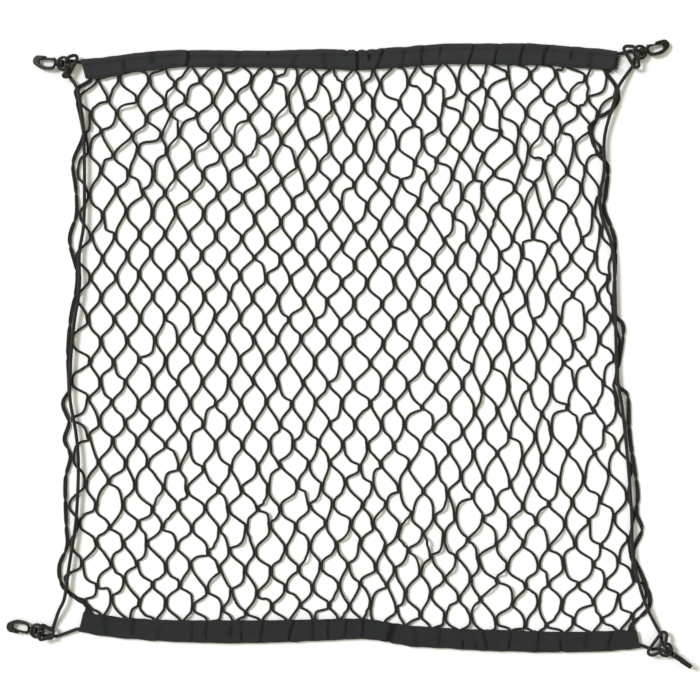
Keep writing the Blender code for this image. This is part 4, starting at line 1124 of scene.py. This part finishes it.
# %% The tree for stitches and fibres
def make_scatter_tree():
    tree, given, result = geometry_tree("spread along edges", (
        ("Spacing", "Float", 0.003), ("Length", "Float", 0.0024), ("Thickness", "Float", 0.0005),
        ("Uneven", "Float", 0.0), ("Fan", "Float", 0.0), ("Bend", "Float", 0.0), ("Seed", "Int", 1)))

    line = add_node(tree, "GeometryNodeMeshToCurve", {"Mesh": given["Geometry"]})
    points = add_node(tree, "GeometryNodeCurveToPoints",
                      {"Curve": line.outputs["Curve"], "Length": given["Spacing"]}, mode="LENGTH")

    def chance(low, high, salt):
        """A random number for each point, between inputs 2 and 3 of the node."""
        seed = maths(tree, "ADD", given["Seed"], float(salt))
        return add_node(tree, "FunctionNodeRandomValue", {2: low, 3: high, "Seed": seed},
                        data_type="FLOAT").outputs[1]

    half = maths(tree, "MULTIPLY", given["Length"], 0.5)
    rise = maths(tree, "MULTIPLY", given["Length"], given["Bend"])
    middle = add_node(tree, "ShaderNodeCombineXYZ", {"X": half, "Z": rise})
    end = add_node(tree, "ShaderNodeCombineXYZ", {"X": given["Length"]})
    fibre = add_node(tree, "GeometryNodeCurveQuadraticBezier", {
        "Resolution": 3, "Start": (0, 0, 0), "Middle": middle.outputs["Vector"], "End": end.outputs["Vector"]})
    radius = maths(tree, "MULTIPLY", given["Thickness"], 0.5)
    section = add_node(tree, "GeometryNodeCurvePrimitiveCircle", {"Resolution": 5, "Radius": radius})
    body = add_node(tree, "GeometryNodeCurveToMesh", {
        "Curve": fibre.outputs["Curve"], "Profile Curve": section.outputs["Curve"], "Fill Caps": True})

    swing = maths(tree, "MULTIPLY", given["Fan"], -1.0)
    fan = add_node(tree, "ShaderNodeCombineXYZ", {"Y": chance(swing, given["Fan"], 1),
                                                  "Z": chance(swing, given["Fan"], 2)})
    size = chance(maths(tree, "SUBTRACT", 1.0, given["Uneven"]), 1.0, 3)
    put = add_node(tree, "GeometryNodeInstanceOnPoints", {
        "Points": points.outputs["Points"], "Instance": body.outputs["Mesh"],
        "Rotation": fan.outputs["Vector"], "Scale": size})
    end_tree(tree, put.outputs["Instances"], given, result)
    return tree


SCATTER_TREE = make_scatter_tree()
print("made the tree:", SCATTER_TREE.name)

# %% Stitches and fibres
STITCH_INSET, STITCH_Z = 2.4, 5.22           # from the open edge, and above the table
STITCH_MARGIN, STITCH_STEP = 6, 4.0
CUT_LINES = ((-6.3, 4.4), (-6.4, 3.4), (-6.2, 1.2))     # the slant and height of each row of fibres
FIBRE_REST = 0.0015                          # metres above the table where a falling fibre starts to lie down


def along_sleeve(rows):
    """A line along a sleeve's open edge."""
    line, x = [], rows[0].x + STITCH_MARGIN
    while x < rows[-1].x - STITCH_MARGIN:
        fold_y, inner_y = lookup(rows, "x", "fold_y", x), lookup(rows, "x", "inner_y", x)
        line.append((x, inner_y + math.copysign(STITCH_INSET, fold_y - inner_y), STITCH_Z))
        x += STITCH_STEP
    return line


def cut_end(row, shift, height):
    """The cut across one end of a sleeve, from its fold to its open edge."""
    return [(row.x + shift * share, row.fold_y + (row.inner_y - row.fold_y) * share, height)
            for share in (0.25, 0.5, 0.75, 1.0)]


stitch_lines = [along_sleeve(rows) for rows in (TOP_SLEEVE, BOTTOM_SLEEVE)]
stitches = grown("stitches", lines_mesh("stitch_lines", stitch_lines), SCATTER_TREE, {
    "Spacing": 0.0032, "Length": 0.0024, "Thickness": 0.0005, "Uneven": 0.1, "Fan": 0.06, "Bend": 0.1,
    "Seed": 4, "Finish": TAPE_FINISHES["bottom"]})
cut_lines = [cut_end(TOP_SLEEVE[-1], shift, height) for shift, height in CUT_LINES]
fibres = grown("frayed_fibres", lines_mesh("cut_lines", cut_lines), SCATTER_TREE, {
    "Spacing": 0.00020, "Length": 0.0080, "Thickness": 0.00036, "Uneven": 0.94, "Fan": 0.65, "Bend": 0.2,
    "Seed": 9, "Finish": TAPE_FINISHES["top"]})
for vertex in fibres.data.vertices:          # a fibre that points down lies along the table
    if vertex.co.z < FIBRE_REST:
        vertex.co.z = FIBRE_REST * math.exp(vertex.co.z / FIBRE_REST - 1)
for piece in (stitches, fibres):
    print(piece.name, triangles(piece), "triangles")

# %% [markdown]
# ## The swivel hooks
#
# Each hook is moulded in three pieces: a ring with a boss, a hook whose pin turns in the boss,
# and a springy gate.  A flat outline is made a plate with rounded edges, joined to the turned pin,
# and then remeshed finely and smoothed.  That melts the joins into the soft fillets that moulded
# plastic has.  The parts are made in millimetres, then placed in metres.

# %% Plates, turned pieces and rings
GRAIN_SIZE = 0.34                            # edge of a remeshed quad


def solid_object(name, bm):
    bmesh.ops.recalc_face_normals(bm, faces=bm.faces)
    return mesh_object(name, bm)


def plate(name, outline, half_thickness, rounding):
    """An outline made a plate about its middle, with rounded edges."""
    bm = bmesh.new()
    under, over = ([bm.verts.new((u, v, side * half_thickness(u))) for u, v in outline] for side in (-1, 1))
    bm.faces.new(under[::-1])
    bm.faces.new(over)
    bridged(bm, under, over)
    piece = solid_object(name, bm)
    soften = piece.modifiers.new("rounding", "BEVEL")
    soften.width, soften.segments, soften.limit_method = rounding, 3, "ANGLE"
    soften.angle_limit = math.radians(40)
    return piece


def full_turn(steps):
    return [2 * math.pi * k / steps for k in range(steps)]


def turned(name, profile, sides=32):
    """A closed turned piece about the u axis."""
    bm = bmesh.new()
    rings = [[bm.verts.new((u, radius * math.cos(turn), radius * math.sin(turn))) for turn in full_turn(sides)]
             for u, radius in profile]
    for ring, following in zip(rings, rings[1:]):
        bridged(bm, ring, following)
    bm.faces.new(rings[0])
    bm.faces.new(rings[-1])
    return solid_object(name, bm)


def torus(name, radius, bar, around=64, across=20):
    """A round bar bent to a closed ring about the w axis."""
    bm = bmesh.new()
    loops = []
    for a in full_turn(around):
        reaches = [(radius + bar * math.cos(b), bar * math.sin(b)) for b in full_turn(across)]
        loops.append([bm.verts.new((reach * math.cos(a), reach * math.sin(a), w)) for reach, w in reaches])
    for loop, following in zip(loops, loops[1:] + loops[:1]):
        bridged(bm, loop, following)
    return solid_object(name, bm)


def arc(centre, radius, start, end, steps):
    """Points along an arc, its start and end in degrees."""
    turns = [math.radians(start + (end - start) * k / steps) for k in range(steps + 1)]
    return [(centre[0] + radius * math.cos(turn), centre[1] + radius * math.sin(turn)) for turn in turns]


def moulded(base, joins=(), cuts=(), smoothing=3):
    """Join and cut the parts, remesh them as one and smooth it.  Returns a mesh in millimetres."""
    for operation, tools in (("UNION", joins), ("DIFFERENCE", cuts)):
        for tool in tools:
            step = base.modifiers.new(operation.lower(), "BOOLEAN")
            step.operation, step.solver, step.object = operation, "EXACT", tool
    remesh = base.modifiers.new("remesh", "REMESH")
    remesh.mode, remesh.voxel_size, remesh.use_smooth_shade = "VOXEL", GRAIN_SIZE, True
    melt = base.modifiers.new("melt", "SMOOTH")
    melt.factor, melt.iterations = 0.5, smoothing
    mesh = plain_mesh(base)
    for used in (base, *joins, *cuts):
        bpy.data.objects.remove(used, do_unlink=True)
    return mesh


print("moulded pieces are remeshed every", GRAIN_SIZE, "mm")

# %% Ring, hook and gate
BOSS_RADIUS, BOSS_INNER, BOSS_OUTER = 3.3, 4.3, 9.2
PIN_RADIUS, BORE_RADIUS = 1.35, 1.65
HOOK_BASE, BOW_MIDDLE, HOOK_TIP = 9.5, 29.6, 36.2
HOOK_HALF, TIP_THINNER = 3.2, 0.6
GATE_HINGE, GATE_HALF = (12.4, 4.0), 2.1
SPRUE_PLACE, SPRUE_HEIGHT = (24.5, -6.3), 2.9


def ring_mesh():
    """The ring that the cord is tied to, with the bored boss that holds the hook's pin."""
    ring = torus("ring", RING_RADIUS, RING_BAR)
    boss = turned("boss", ((BOSS_INNER, 2.6), (BOSS_INNER + 0.25, 3.1), (BOSS_INNER + 0.8, BOSS_RADIUS),
                           (BOSS_OUTER - 0.8, BOSS_RADIUS), (BOSS_OUTER - 0.25, 3.1), (BOSS_OUTER, 2.6)))
    bore = turned("bore", ((BOSS_INNER - 2, BORE_RADIUS), (BOSS_OUTER + 2, BORE_RADIUS)))
    return moulded(ring, (boss,), (bore,), 2)


def hook_half(u):
    """Half the hook's thickness, which thins towards its tip."""
    return HOOK_HALF - TIP_THINNER * progress(u, HOOK_BASE, HOOK_TIP)


def hook_mesh():
    """The hook with its pin, and the marks that the mould's gates left on its two faces."""
    spine = [(HOOK_BASE, 2.6), (HOOK_BASE, -2.9), (10.0, -4.6), (10.8, -6.2), (12.7, -7.8), (16.8, -8.7),
             (22.3, -9.0), (26.4, -8.6), (BOW_MIDDLE, -7.3)]
    bow = arc((BOW_MIDDLE, 0.0), HOOK_TIP - BOW_MIDDLE, -45, 78, 14)
    nose = [(28.7, 6.5), (21.2, 6.5), (21.2, 4.7), (24.9, 4.7), (24.9, 2.1), (28.0, 2.1)]
    throat = [(29.1, 1.2), (29.1, -1.2), (28.5, -2.9), (26.7, -4.3), (21.0, -5.3), (17.0, -5.4), (13.4, -5.0),
              (11.4, -3.8), (10.8, -2.4), (10.8, 1.2)]
    gate_root = arc(GATE_HINGE, 1.9, 270, 90, 8)
    shoulder = [(11.5, 6.3), (10.4, 5.8), (9.7, 4.6)]
    body = plate("hook", spine + bow + nose + throat + gate_root + shoulder, hook_half, 1.15)
    pin = turned("pin", ((-1.2, 0.35), (-0.9, 0.7), (-0.1, 1.4), (0.15, 2.4), (0.1, 3.6), (0.5, 4.4),
                         (1.2, 4.85), (2.1, 4.8), (2.9, 4.45), (3.6, 3.95), (4.0, 3.4), (4.0, PIN_RADIUS),
                         (HOOK_BASE + 1.6, PIN_RADIUS)))
    sprues = [turned("sprue", ((-0.5, 0.3), (-0.5, 0.9), (0.5, 0.9), (0.5, 0.3))) for _ in range(2)]
    for sprue, side in zip(sprues, (1, -1)):
        sprue.data.transform(Matrix.Translation((*SPRUE_PLACE, side * SPRUE_HEIGHT))
                             @ Matrix.Rotation(math.radians(90), 4, "Y"))
    return moulded(body, (pin,), sprues, 3)


def gate_mesh():
    """The springy tongue that closes the mouth, about its hinge."""
    root = arc((0.0, 0.0), 1.6, 90, 270, 8)
    under = [(2.2, -1.3), (4.4, -1.3), (8.8, -1.6), (12.2, -1.7)]
    over = [(12.2, 0.4), (8.2, 0.4), (5.6, 0.7), (3.4, 1.2)]
    return moulded(plate("gate", root + under + over, lambda u: GATE_HALF, 0.6), smoothing=2)


ring, hook, gate = ring_mesh(), hook_mesh(), gate_mesh()
print("a ring, a hook and a gate have", *(len(mesh.vertices) for mesh in (ring, hook, gate)), "vertices")

# %% Four sets of mouldings
def place_moulding(name, mesh, matrix):
    """A copy of a moulding, in the world, kept off the table."""
    copy = mesh.copy()
    copy.transform(matrix @ Matrix.Scale(MM, 4))
    for vertex in copy.vertices:
        vertex.co.z = max(vertex.co.z, 0.0)
    copy.materials.clear()
    copy.materials.append(HOOK_FINISH)
    copy.shade_smooth()
    return add_object(name, copy)


hinge = Matrix.Translation(Vector((*GATE_HINGE, 0.0)) * MM)
mouldings = []                               # each with its body and the node that it stands for
for corner in CORNERS:
    rolled = corner_matrix(corner, corner.roll)
    for part, mesh, matrix in (("ring", ring, corner_matrix(corner)), ("hook", hook, rolled),
                               ("gate", gate, rolled @ hinge)):
        node = part + "_" + corner.name
        mouldings.append((place_moulding("moulded_" + node, mesh, matrix), "net" if part == "ring" else node,
                          node))
print("a hook, its ring and its gate take", sum(triangles(piece) for piece, _, _ in mouldings[:3]),
      "triangles")

# %% [markdown]
# ## Riding on the frame
#
# Every piece moves with a body of the frame and hides the plain solid that it stands for.  The
# net is one body with its sleeves, cord and rings, because cloth has no joint to turn about.  Only
# the hooks and their gates move on their own.

# %% Bodies and nodes
for piece, body, node in mouldings:
    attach(piece, body)
    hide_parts(node)
for piece, nodes, slot in ((netting, ("net_panel",), "netting"), (selvedges, ("net_panel",), "netting"),
                           (shock_cord, ("edge_cord",), "shock_cord"), (top_sleeve, ("sleeve_top",), "tape"),
                           (bottom_sleeve, ("sleeve_bottom",), "tape"),
                           (stitches, ("sleeve_top", "sleeve_bottom"), "tape"),
                           (fibres, ("sleeve_top", "sleeve_bottom"), "tape")):
    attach(piece, "net")
    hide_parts(*nodes)


def half_surface(piece):
    return sum(face.area for face in piece.data.polygons) / 2


print("netting", round(half_surface(netting), 4), "top sleeve", round(half_surface(top_sleeve), 4),
      "bottom sleeve", round(half_surface(bottom_sleeve), 4), "square metres")

# %% [markdown]
# ## Table and light
#
# The net lies on a plain pale table.  A broad soft sky alone would leave it without shadows, and
# it would seem to float.  So one sun comes in from the upper left, low enough to draw each cord's
# shadow beside it, and wide enough to blur that shadow where a cord stands up off the table.

# %% Table
TABLE_TOP, TABLE_HALF = -0.2, 6000           # just under the net, so that nothing lies in its surface
bm = bmesh.new()
bmesh.ops.create_grid(bm, x_segments=1, y_segments=1, size=TABLE_HALF * MM)
bmesh.ops.translate(bm, vec=(0, 0, TABLE_TOP * MM), verts=bm.verts)
table = mesh_object("table", bm)
table_finish, table_tree, table_shader = finish_with("table_white", 0.9, 0.0)
paper = placed(table_tree, DRIFT, Place=object_place(table_tree), Scale=3.0, Amount=0.01)
table_tint = table_tree.nodes.new("ShaderNodeRGB").outputs[0]
table_tint.default_value = (0.90, 0.90, 0.895, 1)
table_tree.links.new(darkened(table_tree, table_tint, paper), table_shader.inputs["Base Color"])
table.data.materials.append(table_finish)
print("the table's top is at", TABLE_TOP, "mm")

# %% Lights
SKY_STRENGTH, SUN_STRENGTH = 0.665, 2.75
SKY_TINT, SUN_TINT = (1.0, 0.96, 0.81, 1), (0.96, 0.995, 1.09)
SUN_FROM_VERTICAL, SUN_TOWARDS, SUN_WIDE = 46.0, -27.0, 17
sky = bpy.data.worlds.new("sky")
sky.use_nodes = True
background = sky.node_tree.nodes["Background"]
background.inputs["Color"].default_value = SKY_TINT
background.inputs["Strength"].default_value = SKY_STRENGTH
bpy.context.scene.world = sky
lean, way = math.radians(SUN_FROM_VERTICAL), math.radians(SUN_TOWARDS)
sun = add_object("sun", bpy.data.lights.new("sun", "SUN"))
sun.data.energy, sun.data.angle, sun.data.color = SUN_STRENGTH, math.radians(SUN_WIDE), SUN_TINT
sunbeam = Vector((math.sin(lean) * math.cos(way), math.sin(lean) * math.sin(way), -math.cos(lean)))
sun.rotation_euler = sunbeam.to_track_quat("-Z", "Y").to_euler()
bpy.context.scene.view_settings.view_transform = "Standard"
print("the sun stands", SUN_FROM_VERTICAL, "degrees from overhead")
